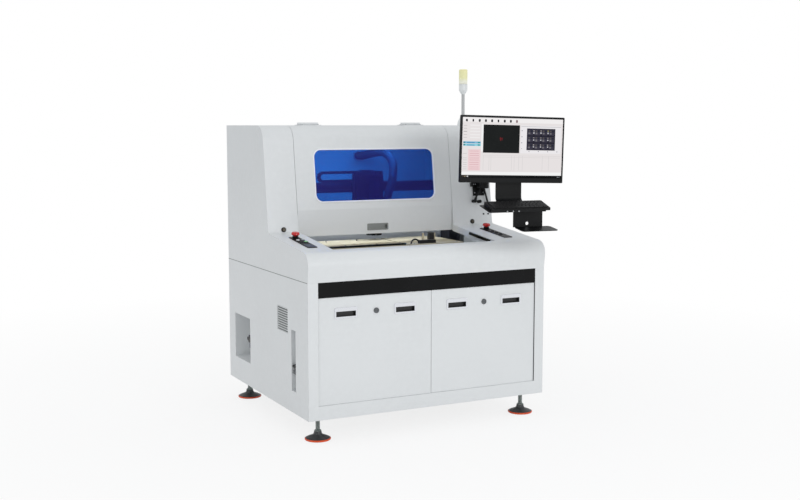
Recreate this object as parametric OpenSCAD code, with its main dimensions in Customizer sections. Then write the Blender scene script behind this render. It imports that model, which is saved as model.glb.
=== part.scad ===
// PCB depaneling machine: a routing spindle on a gantry cuts circuit boards out of their panel.
// Everything is laid out in a working frame: x = 0 is the cabinet's middle, y = 0 its front face
// and z = 0 the floor.  placed() then moves the whole machine over its origin.

/* [Cabinet] */
// Width of the cabinet
cabinet_w = 1250; // [1200:5:1320]
// Depth of the cabinet
cabinet_d = 1085; // [1060:5:1160]
// Height of the cabinet's lower edge above the floor
base_z = 108; // [100:1:120]
// Height of the seam between the cabinet and the upper shell
seam_z = 732; // [720:1:745]
// Height of the roof
roof_z = 1426; // [1410:1:1450]
// Thickness of the sheet metal
sheet = 2.5; // [2:0.5:3]
// Size of the square tube in the base frame
tube = 40; // [35:1:45]

/* [Upper shell] */
// Distance from the front face to the foot of the columns' sloping face
face_y = 486; // [470:1:500]
// Height of the foot of the columns' sloping face
face_z = 914; // [900:1:930]
// Backward lean of the sloping face, in degrees
face_tilt = 7.6; // [6:0.1:9]
// Forward slope of the deck, in degrees
deck_slope = 6.2; // [5:0.1:7]
// Outside radius of the brow where the face turns into the roof
brow_r = 80; // [60:1:100]
// Outside radius of the nose at the front of the deck
nose_r = 60; // [45:1:70]
// Forward lean of the nose below its radius, in degrees
nose_lean = 7.2; // [5:0.1:9]
// Radius in the corner between the deck and the face
foot_r = 12; // [8:1:20]
// Left edge of the opening for the well and the cover
opening_left = -470; // [-490:1:-450]
// Right edge of the opening for the well and the cover
opening_right = 390; // [370:1:410]
// Distance from the front face to the well's front edge
well_y = 72; // [60:1:90]
// Depth of the folded rim round the opening
rim = 32; // [25:1:40]

/* [Cover] */
// Distance from the front face to the rear edge of the cover
cover_y = 700; // [680:1:720]
// Height of the cover's lower edge
cover_z = 888; // [880:1:896]
// Height of the fold in the cover's face
fold_z = 1016; // [1005:1:1030]
// Gap round the cover
cover_gap = 1.6; // [1:0.1:2.5]
// Depth of the cover's folded sides
cover_flange = 20; // [15:1:26]
// Left edge of the window
window_left = -366; // [-380:1:-350]
// Right edge of the window
window_right = 288; // [270:1:300]
// Height of the window's lower edge
window_z = 1056; // [1045:1:1070]
// Height of the window's opening
window_h = 252; // [230:1:262]
// Corner radius of the window
window_r = 35; // [20:1:50]
// Thickness of the window pane
pane_t = 4; // [3:0.5:6]
// Distance of each roof hinge from the middle of the cover
hinge_offset = 289; // [260:1:310]
// Length of a roof hinge
hinge_len = 108; // [90:1:120]
// Radius of the hinge knuckles
knuckle_r = 7; // [6:0.5:8]
// Radius of the hinge pins
hinge_pin_r = 4; // [3:0.25:4.5]

/* [Front] */
// Width of the plain border at each side of the front
border = 50; // [40:1:60]
// Height of the lower edge of the front panels' recess
door_z = 172; // [160:1:185]
// Height of the joint between the front panels and the dark strip
strip_z = 663; // [650:1:675]
// Depth of the recess that the front panels sit in
recess = 6; // [4:0.5:9]
// Depth of a front panel's folded edge
door_t = 18; // [14:1:20]
// Width of a flush handle
handle_w = 113; // [100:1:125]
// Height of a flush handle
handle_h = 49; // [42:1:56]
// Height of the handles' and locks' centres
handle_z = 588; // [570:1:600]
// Distance of the outer handles from the middle of the machine
handle_outer = 438; // [420:1:450]
// Distance of the inner handles from the middle of the machine
handle_inner = 138; // [125:1:150]
// Distance of the quarter-turn locks from the middle of the machine
lock_x = 286; // [270:1:300]
// Radius of a lock's barrel
lock_r = 9; // [8:0.5:10]

/* [Sides] */
// Distance from the front face to the louvred vent
vent_y = 242; // [232:1:252]
// Height of the louvred vent's lower edge
vent_z = 466; // [450:1:480]
// Width of the louvred vent
vent_w = 140; // [120:1:160]
// Height of the louvred vent
vent_h = 124; // [110:1:140]
// Number of louvres
louvres = 11; // [9:1:13]
// Distance from the front face to the air service recess
service_y = 765; // [755:1:775]
// Height of the air service recess's lower edge
service_z = 228; // [215:1:240]
// Width of the air service recess
service_w = 228; // [215:1:240]
// Height of the air service recess
service_h = 229; // [215:1:240]
// Depth of the air service recess
service_t = 90; // [85:1:100]
// Distance from the front face to the narrow connector recess
slot_y = 150; // [142:1:158]
// Height of the connector recess's lower edge
slot_z = 210; // [200:1:220]
// Width of the connector recess
slot_w = 52; // [46:1:60]
// Height of the connector recess
slot_h = 285; // [270:1:300]
// Depth of the connector recess
slot_t = 45; // [40:1:55]

/* [Feet] */
// Distance of each foot from the cabinet's side
foot_in_x = 77; // [72:1:90]
// Distance of each foot from the cabinet's front or rear
foot_in_y = 81; // [76:1:95]
// Radius of a foot's pad
pad_r = 60; // [50:1:65]
// Radius of a foot's stem
stem_r = 10; // [8:0.5:12]

/* [Controls] */
// Sideways place of the left control plate's middle
left_plate_x = -545; // [-552:1:-540]
// Sideways place of the right control plate's middle
right_plate_x = 500; // [490:1:510]
// Width of a control plate
plate_w = 48; // [44:1:52]
// Length of a control plate
plate_l = 240; // [230:1:250]
// Distance from the front face to a control plate's front end
plate_y = 128; // [120:1:136]
// Thickness of a control plate
plate_t = 3; // [2:0.5:4]
// Radius of an emergency stop's head
estop_r = 20; // [18:0.5:22]
// Travel of an emergency stop's head
estop_travel = 4; // [3:0.5:5]
// Radius of a push-button's cap
cap_r = 8; // [7:0.25:9]
// Travel of a push-button
cap_travel = 2.5; // [2:0.25:3]
// Height of the start buttons on the columns
start_z = 928; // [922:1:935]
// Sideways place of the left start button
start_left_x = -546; // [-555:1:-535]
// Sideways place of the right start button
start_right_x = 504; // [495:1:515]

/* [Motion] */
// Sideways place of the spindle
spindle_x = 20; // [0:1:40]
// Distance from the front face to the spindle's axis
spindle_y = 664; // [658:1:670]
// Radius of the spindle's motor
spindle_r = 31; // [28:0.5:34]
// Height of the spindle motor's lower end
spindle_z = 900; // [896:1:910]
// Height of the gantry beam's underside
beam_z = 1080; // [1070:1:1090]
// Height of the gantry beam
beam_h = 50; // [46:1:60]
// Depth of the gantry beam
beam_t = 90; // [80:1:100]
// Distance from the front face to the gantry beam
beam_y = 766; // [762:1:772]
// Width of a guide rail
rail_w = 15; // [12:1:18]
// Height of a guide rail
rail_h = 12; // [10:1:14]
// Height of the machine bed's top
bed_z = 710; // [706:1:714]
// Height of the fixture plates' top
fixture_z = 840; // [834:1:846]
// Thickness of the fixture plates
fixture_t = 10; // [8:1:12]
// Distance from the front face to the front edge of the tables
table_y = 345; // [340:1:360]
// Length of the tables
table_l = 355; // [330:5:370]
// Left edge of the left table
left_table_x = -456; // [-460:1:-450]
// Width of the left table
left_table_w = 516; // [490:2:516]
// Gap between the two tables
table_gap = 14; // [10:1:20]
// Width of the right table
right_table_w = 300; // [280:2:304]

/* [Signal tower] */
// Distance of the signal tower from the cabinet's right side
tower_in = 63; // [50:1:75]
// Distance from the front face to the signal tower
tower_y = 690; // [680:1:700]
// Height of the whole signal tower above the roof
tower_h = 296; // [280:1:310]
// Radius of the signal tower's lens
lens_r = 22.5; // [20:0.5:25]
// Height of the signal tower's lens
lens_h = 78; // [70:1:90]

/* [Monitor arm] */
// Distance of the arm's first pivot from the cabinet's right side
arm_in = 74; // [65:1:85]
// Distance from the front face to the arm's first pivot
arm_y = 447; // [440:1:455]
// Height of the arm bracket's top
arm_z = 1130; // [1124:1:1140]
// Length of each arm link between its pivots
link_l = 240; // [230:1:250]
// Direction of the first link, in degrees from +X
link_1_angle = -78.9; // [-82:0.1:-75]
// Direction of the second link, in degrees from +X
link_2_angle = -135.4; // [-139:0.1:-132]
// Height of an arm link
link_h = 33; // [28:1:38]
// Radius of the arm's pivot pins
pivot_r = 11; // [9:0.5:12]
// Radius of the arm's knuckles
hub_r = 24; // [20:1:27]
// Turn of the monitor away from facing straight ahead, in degrees
monitor_turn = -7; // [-10:0.5:-4]
// Width of the monitor
monitor_w = 540; // [500:2:560]
// Height of the monitor
monitor_h = 315; // [300:1:330]
// Height of the monitor's middle
monitor_z = 1312; // [1305:1:1320]
// Lean of the monitor in its own plane, in degrees
monitor_roll = 1.4; // [0:0.1:2]
// Distance from the last arm pivot to the monitor's front
monitor_reach = 75; // [72:1:80]
// Width of the neck plate
neck_w = 135; // [120:1:145]
// Height of the keyboard tray's hinge
tray_z = 1062; // [1056:1:1068]
// Forward slope of the keyboard tray, in degrees
tray_slope = 12; // [8:0.5:15]

/* [Hidden] */
$fn = 48;

housing = [0.88, 0.89, 0.90];
dark = [0.13, 0.13, 0.14];
steel = [0.62, 0.64, 0.66];
chrome = [0.78, 0.79, 0.81];

// Clearances
slide_gap = 0.3;    // between moving pieces that pass each other
run_gap = 0.05;     // round a pin or shaft that turns in its bore
seat_gap = 0.3;     // where a moving piece rests
joint_gap = 0.2;    // between pieces that are bolted or pressed together

half_w = cabinet_w / 2;
inner_w = half_w - sheet;
tower_x = half_w - tower_in;
arm_x = half_w - arm_in;

// ---- helpers ---------------------------------------------------------------------------

function unit(v) = v / norm(v);

// Points of an arc of radius r in the corner b of the path a-b-c
function fillet(a, b, c, r, steps = 8) =
  let (u = unit(a - b), v = unit(c - b), half = acos(u * v) / 2)
  let (centre = b + unit(u + v) * r / sin(half), reach = r / tan(half))
  let (p = b + u * reach - centre, q = b + v * reach - centre)
  let (start = atan2(p[1], p[0]), sweep = (atan2(q[1], q[0]) - start + 540) % 360 - 180)
  [for (i = [0:steps]) centre + r * [cos(start + sweep * i / steps), sin(start + sweep * i / steps)]];

// Outline of a rectangle from its corner [x, y], with rounded corners
function round_rect(x, y, w, h, r, steps = 6) =
  let (c = [[x, y], [x + w, y], [x + w, y + h], [x, y + h]])
  [for (i = [0:3]) for (p = fillet(c[(i + 3) % 4], c[i], c[(i + 1) % 4], r, steps)) p];

// A box from its low corner to its high corner
module block(low, high) {
  translate(low) cube(high - low);
}

// Extrudes an outline drawn in (y, z) from x0 to x1
module along_x(x0, x1) {
  translate([x0, 0, 0]) rotate([90, 0, 90]) linear_extrude(x1 - x0) children();
}

// Extrudes an outline drawn in (x, z) from y0 to y1
module along_y(y0, y1) {
  translate([0, y1, 0]) rotate([90, 0, 0]) linear_extrude(y1 - y0) children();
}

// A cylinder along y
module rod_y(x, z, y0, y1, r) {
  translate([x, y0, z]) rotate([-90, 0, 0]) cylinder(r = r, h = y1 - y0);
}

// A cylinder along x
module rod_x(y, z, x0, x1, r) {
  translate([x0, y, z]) rotate([0, 90, 0]) cylinder(r = r, h = x1 - x0);
}

// ---- frames ----------------------------------------------------------------------------

// Frame on the sloping face: y runs inward, z up the face from its foot
module on_face() {
  translate([0, face_y, face_z]) rotate([-face_tilt, 0, 0]) children();
}

// Frame on the deck: -y runs forward down the deck from the foot of the face, z away from it
module on_deck() {
  translate([0, face_y, face_z]) rotate([deck_slope, 0, 0]) children();
}

// Distance along the deck of a place at y
function deck_run(y) = (y - face_y) / cos(deck_slope);
// Distance up the face of a place at z
function face_run(z) = (z - face_z) / cos(face_tilt);

elbow = [arm_x, arm_y] + link_l * [cos(link_1_angle), sin(link_1_angle)];
head = elbow + link_l * [cos(link_2_angle), sin(link_2_angle)];

// Frame at the arm's last pivot: x to the monitor's right, -y out of its screen
module at_head() {
  translate([head[0], head[1], 0]) rotate([0, 0, monitor_turn]) children();
}

// Place in the working frame of a point [x, y] of the head frame
function from_head(p) = head + [
  p[0] * cos(monitor_turn) - p[1] * sin(monitor_turn),
  p[0] * sin(monitor_turn) + p[1] * cos(monitor_turn)];

tray_hinge_y = -60;
tray_d = 125;
tray_left = -165;
tray_right = 130;
port_l = 30;

// The origin lies on the floor under the middle of the machine's overall box
monitor_corner = from_head([monitor_w / 2, -monitor_reach]);
tray_corner = from_head([tray_right, tray_hinge_y - tray_d]);
origin = [(monitor_corner[0] - half_w) / 2, (tray_corner[1] + cabinet_d + port_l) / 2];

module placed() {
  translate([-origin[0], -origin[1], 0]) children();
}

// ---- upper shell -----------------------------------------------------------------------

// Side outline of the upper shell, moved inward by t, down to the height bottom
function shell_profile(t, back, bottom) =
  let (lean = tan(nose_lean), slope = tan(deck_slope), tilt = tan(face_tilt))
  let (front_at = (sheet + t) / cos(nose_lean) - sheet)
  let (deck_at = face_z - t / cos(deck_slope), face_at = face_y + t / cos(face_tilt))
  let (nose_y = (front_at - (deck_at - seam_z - face_y * slope) * lean) / (1 + slope * lean))
  let (nose = [nose_y, deck_at - (face_y - nose_y) * slope])
  let (foot_y = (face_at + (deck_at - face_z - face_y * slope) * tilt) / (1 - slope * tilt))
  let (foot = [foot_y, deck_at + (foot_y - face_y) * slope])
  let (top = roof_z - t, brow = [face_at + (top - face_z) * tilt, top])
  let (toe = [front_at + (seam_z - bottom) * lean, bottom])
  concat([[back, bottom], toe], fillet(toe, nose, foot, nose_r - t), fillet(nose, foot, brow, foot_r + t),
    fillet(foot, brow, [back, top], brow_r - t, 10), [[back, top]]);

// Folded rim along one side of the opening
module side_rim(x) {
  along_x(x, x + sheet) difference() {
    polygon(shell_profile(0, cover_y + sheet, seam_z));
    polygon(shell_profile(rim, cover_y + sheet + 1, seam_z - 1));
    translate([-rim, 0]) square([rim + well_y - sheet, roof_z]);
  }
}

hatch_x = 540;
hatch_low = seam_z + 62;
hatch_high = roof_z - 50;
hatch_lap = 12;

module upper_shell() {
  color(housing) placed() difference() {
    along_x(-half_w, half_w) polygon(shell_profile(0, cabinet_d, seam_z));
    difference() {
      along_x(-inner_w, inner_w) polygon(shell_profile(sheet, cabinet_d - sheet, seam_z - 1));
      side_rim(opening_left - sheet);
      side_rim(opening_right);
      block([opening_left - sheet, well_y - sheet, face_z - rim - face_y * tan(deck_slope)],
        [opening_right + sheet, well_y, face_z]);
      block([opening_left - sheet, cover_y, roof_z - rim], [opening_right + sheet, cover_y + sheet, roof_z]);
    }
    block([opening_left, well_y, seam_z + 1], [opening_right, cover_y, roof_z + 1]);
    block([-hatch_x, cabinet_d - sheet - 1, hatch_low], [hatch_x, cabinet_d + 1, hatch_high]);
    for (x = [left_plate_x, right_plate_x])
      on_deck() block([x - plate_w / 2 + 3, deck_run(plate_y) + 6, -2 * sheet],
        [x + plate_w / 2 - 3, deck_run(plate_y + plate_l) - 6, 1]);
    for (x = [start_left_x, start_right_x]) on_face() {
      rod_y(x, face_run(start_z), -1, 2 * sheet, cap_r + slide_gap);
      rod_y(x, face_run(start_z), -10, 0, cap_r + 4 + joint_gap);
    }
  }
}

// Rear service hatch with the stub for the dust extraction hose
port_x = 120;
port_z = 1262;
port_r = 25;

module rear_hatch() {
  color(housing) placed() difference() {
    union() {
      block([-hatch_x - hatch_lap, cabinet_d, hatch_low - hatch_lap],
        [hatch_x + hatch_lap, cabinet_d + sheet, hatch_high + hatch_lap]);
      rod_y(port_x, port_z, cabinet_d - 12, cabinet_d + port_l, port_r);
    }
    rod_y(port_x, port_z, cabinet_d - 13, cabinet_d + port_l + 1, port_r - 4);
  }
}

// ---- lower cabinet ---------------------------------------------------------------------

frame_y = recess + door_t + 4;
frame_x = inner_w;
frame_back = cabinet_d - sheet;
foot_x = half_w - foot_in_x;
pan_t = 2;
frame_z = base_z + pan_t;
frame_top = bed_z - 20;

module foot_places() {
  for (x = [-foot_x, foot_x], y = [foot_in_y, cabinet_d - foot_in_y]) translate([x, y, 0]) children();
}

module ring_frame(z) {
  difference() {
    block([-frame_x, frame_y, z], [frame_x, frame_back, z + tube]);
    block([-frame_x + tube, frame_y + tube, z - 1], [frame_x - tube, frame_back - tube, z + tube + 1]);
  }
}

module base_frame() {
  foot_plate = 90;
  keeper_w = 40;
  color([0.35, 0.36, 0.38]) placed() {
    difference() {
      union() {
        ring_frame(frame_z);
        ring_frame(frame_top - tube);
        for (sx = [-1, 1], y = [frame_y, frame_back - tube])
          block([sx > 0 ? frame_x - tube : -frame_x, y, frame_z], [sx > 0 ? frame_x : tube - frame_x, y + tube, frame_top]);
        foot_places() translate([-foot_plate / 2, -foot_plate / 2, frame_z]) cube([foot_plate, foot_plate, 14]);
        for (x = [-lock_x, lock_x])
          block([x - keeper_w / 2, frame_y - 3, handle_z + 22], [x + keeper_w / 2, frame_y, strip_z - 1]);
      }
      foot_places() translate([0, 0, frame_z - 1]) cylinder(r = stem_r + run_gap, h = tube + 2);
    }
    foot_places() translate([0, 0, frame_z - 12]) difference() {
      cylinder(r = 17, h = 12 - joint_gap, $fn = 6);
      translate([0, 0, -1]) cylinder(r = stem_r + run_gap, h = 14);
    }
  }
}

module cabinet_panels() {
  gland_r = 12.5;
  color(housing) placed() {
    difference() {
      block([-half_w, sheet, base_z], [-inner_w, cabinet_d - sheet, seam_z]);
      block([-half_w - 1, vent_y, vent_z], [-inner_w + 1, vent_y + vent_w, vent_z + vent_h]);
      block([-half_w - 1, service_y, service_z], [-inner_w + 1, service_y + service_w, service_z + service_h]);
      block([-half_w - 1, slot_y, slot_z], [-inner_w + 1, slot_y + slot_w, slot_z + slot_h]);
    }
    difference() {
      block([inner_w, sheet, base_z], [half_w, cabinet_d - sheet, seam_z]);
      block([inner_w - 1, vent_y, vent_z], [half_w + 1, vent_y + vent_w, vent_z + vent_h]);
    }
    difference() {
      block([-half_w, cabinet_d - sheet + joint_gap, base_z], [half_w, cabinet_d, seam_z]);
      rod_y(-half_w + 120, base_z + 90, cabinet_d - sheet - 1, cabinet_d + 1, gland_r);
    }
    difference() {
      block([-inner_w + joint_gap, sheet, base_z], [inner_w - joint_gap, cabinet_d - sheet, base_z + pan_t]);
      foot_places() translate([0, 0, base_z - 1]) cylinder(r = 20, h = pan_t + 2);
    }
  }
}

module front_fascia() {
  color(housing) placed() {
    difference() {
      block([-half_w, 0, base_z], [half_w, sheet, seam_z]);
      block([-half_w + border, -1, door_z], [half_w - border, sheet + 1, seam_z + 1]);
    }
    // sill that the front panels stand on
    block([-half_w + border, sheet - 1, door_z - sheet], [half_w - border, frame_y, door_z]);
  }
}

module trim_strip() {
  color([0.03, 0.03, 0.04]) placed()
    block([-half_w + border + 1, 1, strip_z + 1], [half_w - border - 1, frame_y - slide_gap, seam_z - 1]);
}

// One louvred vent, drawn at the left side with its frame in the panel's cut-out
module louvred_vent(outer, inner) {
  pitch = vent_h / louvres;
  frame = 4;
  difference() {
    block([min(outer, inner), vent_y, vent_z], [max(outer, inner), vent_y + vent_w, vent_z + vent_h]);
    block([min(outer, inner) - 1, vent_y + frame, vent_z + frame],
      [max(outer, inner) + 1, vent_y + vent_w - frame, vent_z + vent_h - frame]);
  }
  for (i = [0:louvres - 1])
    along_y(vent_y + frame - 1, vent_y + vent_w - frame + 1)
      polygon([[outer, vent_z + (i + 0.18) * pitch], [outer, vent_z + (i + 0.38) * pitch],
        [inner, vent_z + (i + 0.86) * pitch], [inner, vent_z + (i + 0.66) * pitch]]);
}

module vent_grilles() {
  depth = 9;
  color(housing) placed() {
    louvred_vent(-half_w, -half_w + depth);
    louvred_vent(half_w, half_w - depth);
  }
}

// Open-fronted sheet tray behind a cut-out in the left panel
module side_tray(y, z, w, h, t) {
  wall = 1.5;
  difference() {
    block([-inner_w, y - wall, z - wall], [-inner_w + t, y + w + wall, z + h + wall]);
    block([-inner_w - 1, y, z], [-inner_w + t - wall, y + w, z + h]);
  }
}

module side_recesses() {
  back = -inner_w + slot_t - 1.5;
  plug_y = slot_y + slot_w / 2;
  color(housing) placed() {
    side_tray(service_y, service_z, service_w, service_h, service_t);
    side_tray(slot_y, slot_z, slot_w, slot_h, slot_t);
    rod_x(plug_y, slot_z + 114, back - 26, back, 12);
    block([back - 20, plug_y - 12, slot_z + 82], [back, plug_y + 12, slot_z + 98]);
  }
}

// ---- front panels ----------------------------------------------------------------------

door_gap = 2;
door_left = -half_w + border + door_gap;
door_low = door_z + seat_gap;
door_high = strip_z - door_gap;
handle_cup_w = handle_w - 12;
handle_cup_h = handle_h - 12;
door_y = recess;

// One front panel: side is -1 for the left one and 1 for the right one
module door(side) {
  x0 = side < 0 ? door_left : door_gap / 2;
  x1 = side < 0 ? -door_gap / 2 : -door_left;
  color(housing) placed() difference() {
    block([x0, door_y, door_low], [x1, door_y + door_t, door_high]);
    block([x0 + sheet, door_y + sheet, door_low + sheet], [x1 - sheet, door_y + door_t + 1, door_high - sheet]);
    for (x = side * [handle_outer, handle_inner])
      block([x - handle_cup_w / 2, door_y - 1, handle_z - handle_cup_h / 2],
        [x + handle_cup_w / 2, door_y + sheet + 1, handle_z + handle_cup_h / 2]);
    rod_y(side * lock_x, handle_z, door_y - 1, door_y + sheet + 1, lock_r + run_gap);
  }
}

module left_door() { door(-1); }
module right_door() { door(1); }

module flush_handle(x) {
  rim_t = 3;
  wall = 2;
  translate([x, door_y, handle_z]) difference() {
    union() {
      along_y(-rim_t, 0) polygon(round_rect(-handle_w / 2, -handle_h / 2, handle_w, handle_h, 7, 4));
      block([-handle_cup_w / 2, -1, -handle_cup_h / 2], [handle_cup_w / 2, 16, handle_cup_h / 2]);
    }
    difference() {
      block([-handle_cup_w / 2 + wall, -rim_t - 1, -handle_cup_h / 2 + wall],
        [handle_cup_w / 2 - wall, 16 - wall, handle_cup_h / 2 - wall]);
      block([-handle_cup_w / 2, -rim_t, handle_cup_h / 2 - 11], [handle_cup_w / 2, 1, handle_cup_h / 2]);
    }
  }
}

module left_handles() {
  color(chrome) placed() for (x = [-handle_outer, -handle_inner]) flush_handle(x);
}
module right_handles() {
  color(chrome) placed() for (x = [handle_inner, handle_outer]) flush_handle(x);
}

// Quarter-turn lock: the cam points to the machine's middle when open
module quarter_lock(side) {
  cam_l = 44;
  cam_y = frame_y + 1.5;
  color(chrome) placed() translate([side * lock_x, 0, handle_z]) {
    difference() {
      union() {
        rod_y(0, 0, door_y - 4, door_y - slide_gap, lock_r + 4);
        rod_y(0, 0, door_y - 1, cam_y + 3, lock_r);
      }
      block([-lock_r, door_y - 5, -1.2], [lock_r, door_y - 2.5, 1.2]);
    }
    difference() {
      block([side > 0 ? -cam_l : -9, cam_y, -9], [side > 0 ? 9 : cam_l, cam_y + 3, 9]);
      rod_y(0, 0, cam_y - 1, cam_y + 4, lock_r);
    }
  }
}

module left_lock() { quarter_lock(-1); }
module right_lock() { quarter_lock(1); }

// ---- feet ------------------------------------------------------------------------------

module foot(sx, rear) {
  y = rear ? cabinet_d - foot_in_y : foot_in_y;
  color(dark) placed() translate([sx * foot_x, y, 0]) rotate_extrude()
    polygon(concat([[0, 0], [pad_r - 2, 0], [pad_r, 2], [pad_r, 7], [pad_r - 4, 9], [pad_r - 12, 13]],
      fillet([pad_r - 12, 13], [stem_r + 10, 24], [stem_r + 7, 40], 14),
      [[stem_r + 7, 40], [stem_r + 5, 44], [stem_r, 44], [stem_r, frame_z + tube + 12],
        [0, frame_z + tube + 12]]));
}

module foot_front_left() { foot(-1, false); }
module foot_front_right() { foot(1, false); }
module foot_rear_left() { foot(-1, true); }
module foot_rear_right() { foot(1, true); }

// ---- cover -----------------------------------------------------------------------------

cover_left = opening_left + cover_gap;
cover_right = opening_right - cover_gap;
hinge_z = roof_z + knuckle_r + 0.5;
hinge_mid = (opening_left + opening_right) / 2;

// Side outline of the cover, moved inward by t
function cover_profile(t, rear, low) =
  let (tilt = tan(face_tilt), top = roof_z - t)
  let (fold = [face_y + t / cos(face_tilt) + (fold_z - face_z) * tilt, fold_z])
  let (brow = [fold[0] + (top - fold_z) * tilt, top])
  concat([[rear, low], [fold[0], low], fold], fillet(fold, brow, [rear, top], brow_r - t, 10), [[rear, top]]);

module cover_shell() {
  leaf = 3;
  rear = cover_y - cover_gap;
  color(housing) placed() difference() {
    union() {
      difference() {
        along_x(cover_left, cover_right) polygon(cover_profile(0, rear, cover_z));
        along_x(cover_left + sheet, cover_right - sheet)
          polygon(cover_profile(sheet, rear - sheet, cover_z + sheet));
        along_x(cover_left - 1, cover_right + 1) polygon(cover_profile(cover_flange, rear + 1, cover_z - 1));
      }
      on_face() along_y(-1.5, 1)
        polygon(round_rect(window_left - 6, face_run(window_z) - 6, window_right - window_left + 12,
          window_h + 12, window_r + 6));
      for (side = [-1, 1]) translate([hinge_mid + side * hinge_offset, 0, 0]) {
        block([-hinge_len / 2, cover_y - 45, roof_z], [hinge_len / 2, cover_y - 10, roof_z + leaf]);
        block([-hinge_len / 5 + slide_gap, cover_y - 11, roof_z + 0.7], [hinge_len / 5 - slide_gap, cover_y, roof_z + leaf]);
        rod_x(cover_y, hinge_z, -hinge_len / 5 + slide_gap, hinge_len / 5 - slide_gap, knuckle_r);
      }
    }
    on_face() along_y(-3, sheet + 1)
      polygon(round_rect(window_left, face_run(window_z), window_right - window_left, window_h, window_r));
    for (side = [-1, 1])
      rod_x(cover_y, hinge_z, hinge_mid + side * hinge_offset - hinge_len, hinge_mid + side * hinge_offset + hinge_len,
        hinge_pin_r + run_gap);
    block([grip_x - grip_cup_w / 2, face_y - 10, grip_z - grip_cup_h / 2],
      [grip_x + grip_cup_w / 2, face_y + 40, grip_z + grip_cup_h / 2]);
  }
}

module cover_window() {
  lap = 14;
  color([0.05, 0.12, 0.75, 0.5]) placed() on_face() along_y(sheet, sheet + pane_t)
    polygon(round_rect(window_left - lap, face_run(window_z) - lap, window_right - window_left + 2 * lap,
      window_h + 2 * lap, window_r));
}

grip_x = -38;
grip_z = 922;
grip_w = 116;
grip_h = 34;
grip_cup_w = grip_w - 10;
grip_cup_h = grip_h - 10;

module cover_grip() {
  grip_y = face_y + (fold_z - face_z) * tan(face_tilt);
  depth = 15;
  color(steel) placed() translate([grip_x, grip_y, grip_z]) difference() {
    union() {
      along_y(-2, 0) polygon(round_rect(-grip_w / 2, -grip_h / 2, grip_w, grip_h, 4, 4));
      block([-grip_cup_w / 2, -1, -grip_cup_h / 2], [grip_cup_w / 2, depth, grip_cup_h / 2]);
    }
    block([-grip_cup_w / 2 + 2, -3, -grip_cup_h / 2 + 2], [grip_cup_w / 2 - 2, depth - 2, grip_cup_h / 2 - 2]);
  }
}

module hinge_brackets() {
  leaf = 3;
  color(housing) placed() for (side = [-1, 1]) translate([hinge_mid + side * hinge_offset, 0, 0]) {
    block([-hinge_len / 2, cover_y + 10, roof_z], [hinge_len / 2, cover_y + 42, roof_z + leaf]);
    for (x = [-hinge_len / 2, hinge_len / 5]) {
      block([x, cover_y + 2, roof_z], [x + hinge_len * 0.3, cover_y + 11, roof_z + leaf]);
      rod_x(cover_y, hinge_z, x, x + hinge_len * 0.3, knuckle_r);
    }
    rod_x(cover_y, hinge_z, -hinge_len / 2, hinge_len / 2, hinge_pin_r);
  }
}

// ---- bed, tables and gantry ------------------------------------------------------------

left_mid = left_table_x + left_table_w / 2;
right_table_x = left_table_x + left_table_w + table_gap;
right_mid = right_table_x + right_table_w / 2;
left_span = 150;
right_span = 90;
way_y0 = 100;
way_y1 = 860;

module machine_bed() {
  color(steel) placed() {
    block([-inner_w + tube / 2, frame_y, frame_top], [inner_w - tube / 2, frame_back - tube / 2, bed_z]);
    for (x = [left_mid - left_span, left_mid + left_span, right_mid - right_span, right_mid + right_span])
      block([x - rail_w / 2, way_y0, bed_z], [x + rail_w / 2, way_y1, bed_z + rail_h]);
  }
}

post_x = 590;
post_w = 70;
beam_rail_z = [beam_z + 5, beam_z + beam_h - 5 - rail_h];

module gantry_frame() {
  color([0.20, 0.21, 0.23]) placed() {
    difference() {
      union() {
        for (x = [-post_x, post_x - post_w]) block([x, beam_y, bed_z], [x + post_w, beam_y + beam_t, beam_z]);
        block([-post_x, beam_y, beam_z], [post_x, beam_y + beam_t, beam_z + beam_h]);
      }
      for (x = [-post_x, post_x - post_w])
        block([x + 12, beam_y - 1, bed_z + 60], [x + post_w - 12, beam_y + beam_t + 1, beam_z - 60]);
    }
    for (z = beam_rail_z) block([-post_x + 20, beam_y - 8, z], [post_x - 20, beam_y, z + rail_h]);
  }
}

carriage_y = beam_y - 32;
carriage_rise = 60;
carriage_half = 85;
rail_at = 50;
head_y = carriage_y - 26;

// The plate that runs along the beam and carries the upright rails of the head
module x_carriage() {
  color([0.30, 0.31, 0.33]) placed() {
    difference() {
      block([spindle_x - carriage_half, carriage_y, beam_z - carriage_rise], [spindle_x + carriage_half, beam_y - 1, beam_z + beam_h + carriage_rise]);
      block([spindle_x - carriage_half - 1, carriage_y + 12, beam_z - carriage_rise - 1], [spindle_x + carriage_half + 1, beam_y, beam_z + 1]);
      block([spindle_x - carriage_half - 1, carriage_y + 12, beam_z + beam_h - 1],
        [spindle_x + carriage_half + 1, beam_y, beam_z + beam_h + carriage_rise + 1]);
      for (z = beam_rail_z)
        block([spindle_x - carriage_half - 1, beam_y - 8 - slide_gap, z - slide_gap], [spindle_x + carriage_half + 1, beam_y, z + rail_h + slide_gap]);
    }
    for (x = [-rail_at, rail_at])
      block([spindle_x + x - rail_w / 2, carriage_y - 8, beam_z - carriage_rise + 2],
        [spindle_x + x + rail_w / 2, carriage_y, beam_z + beam_h + carriage_rise - 2]);
    // lug over the cable chain's moving end
    block([spindle_x - 16, carriage_y, beam_z + beam_h + carriage_rise],
      [spindle_x + 30, beam_y + 12 + chain_w, beam_z + beam_h + carriage_rise + 4]);
  }
}

brush_z = 862;
outlet_x = 61;
camera_x = -78;

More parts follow.
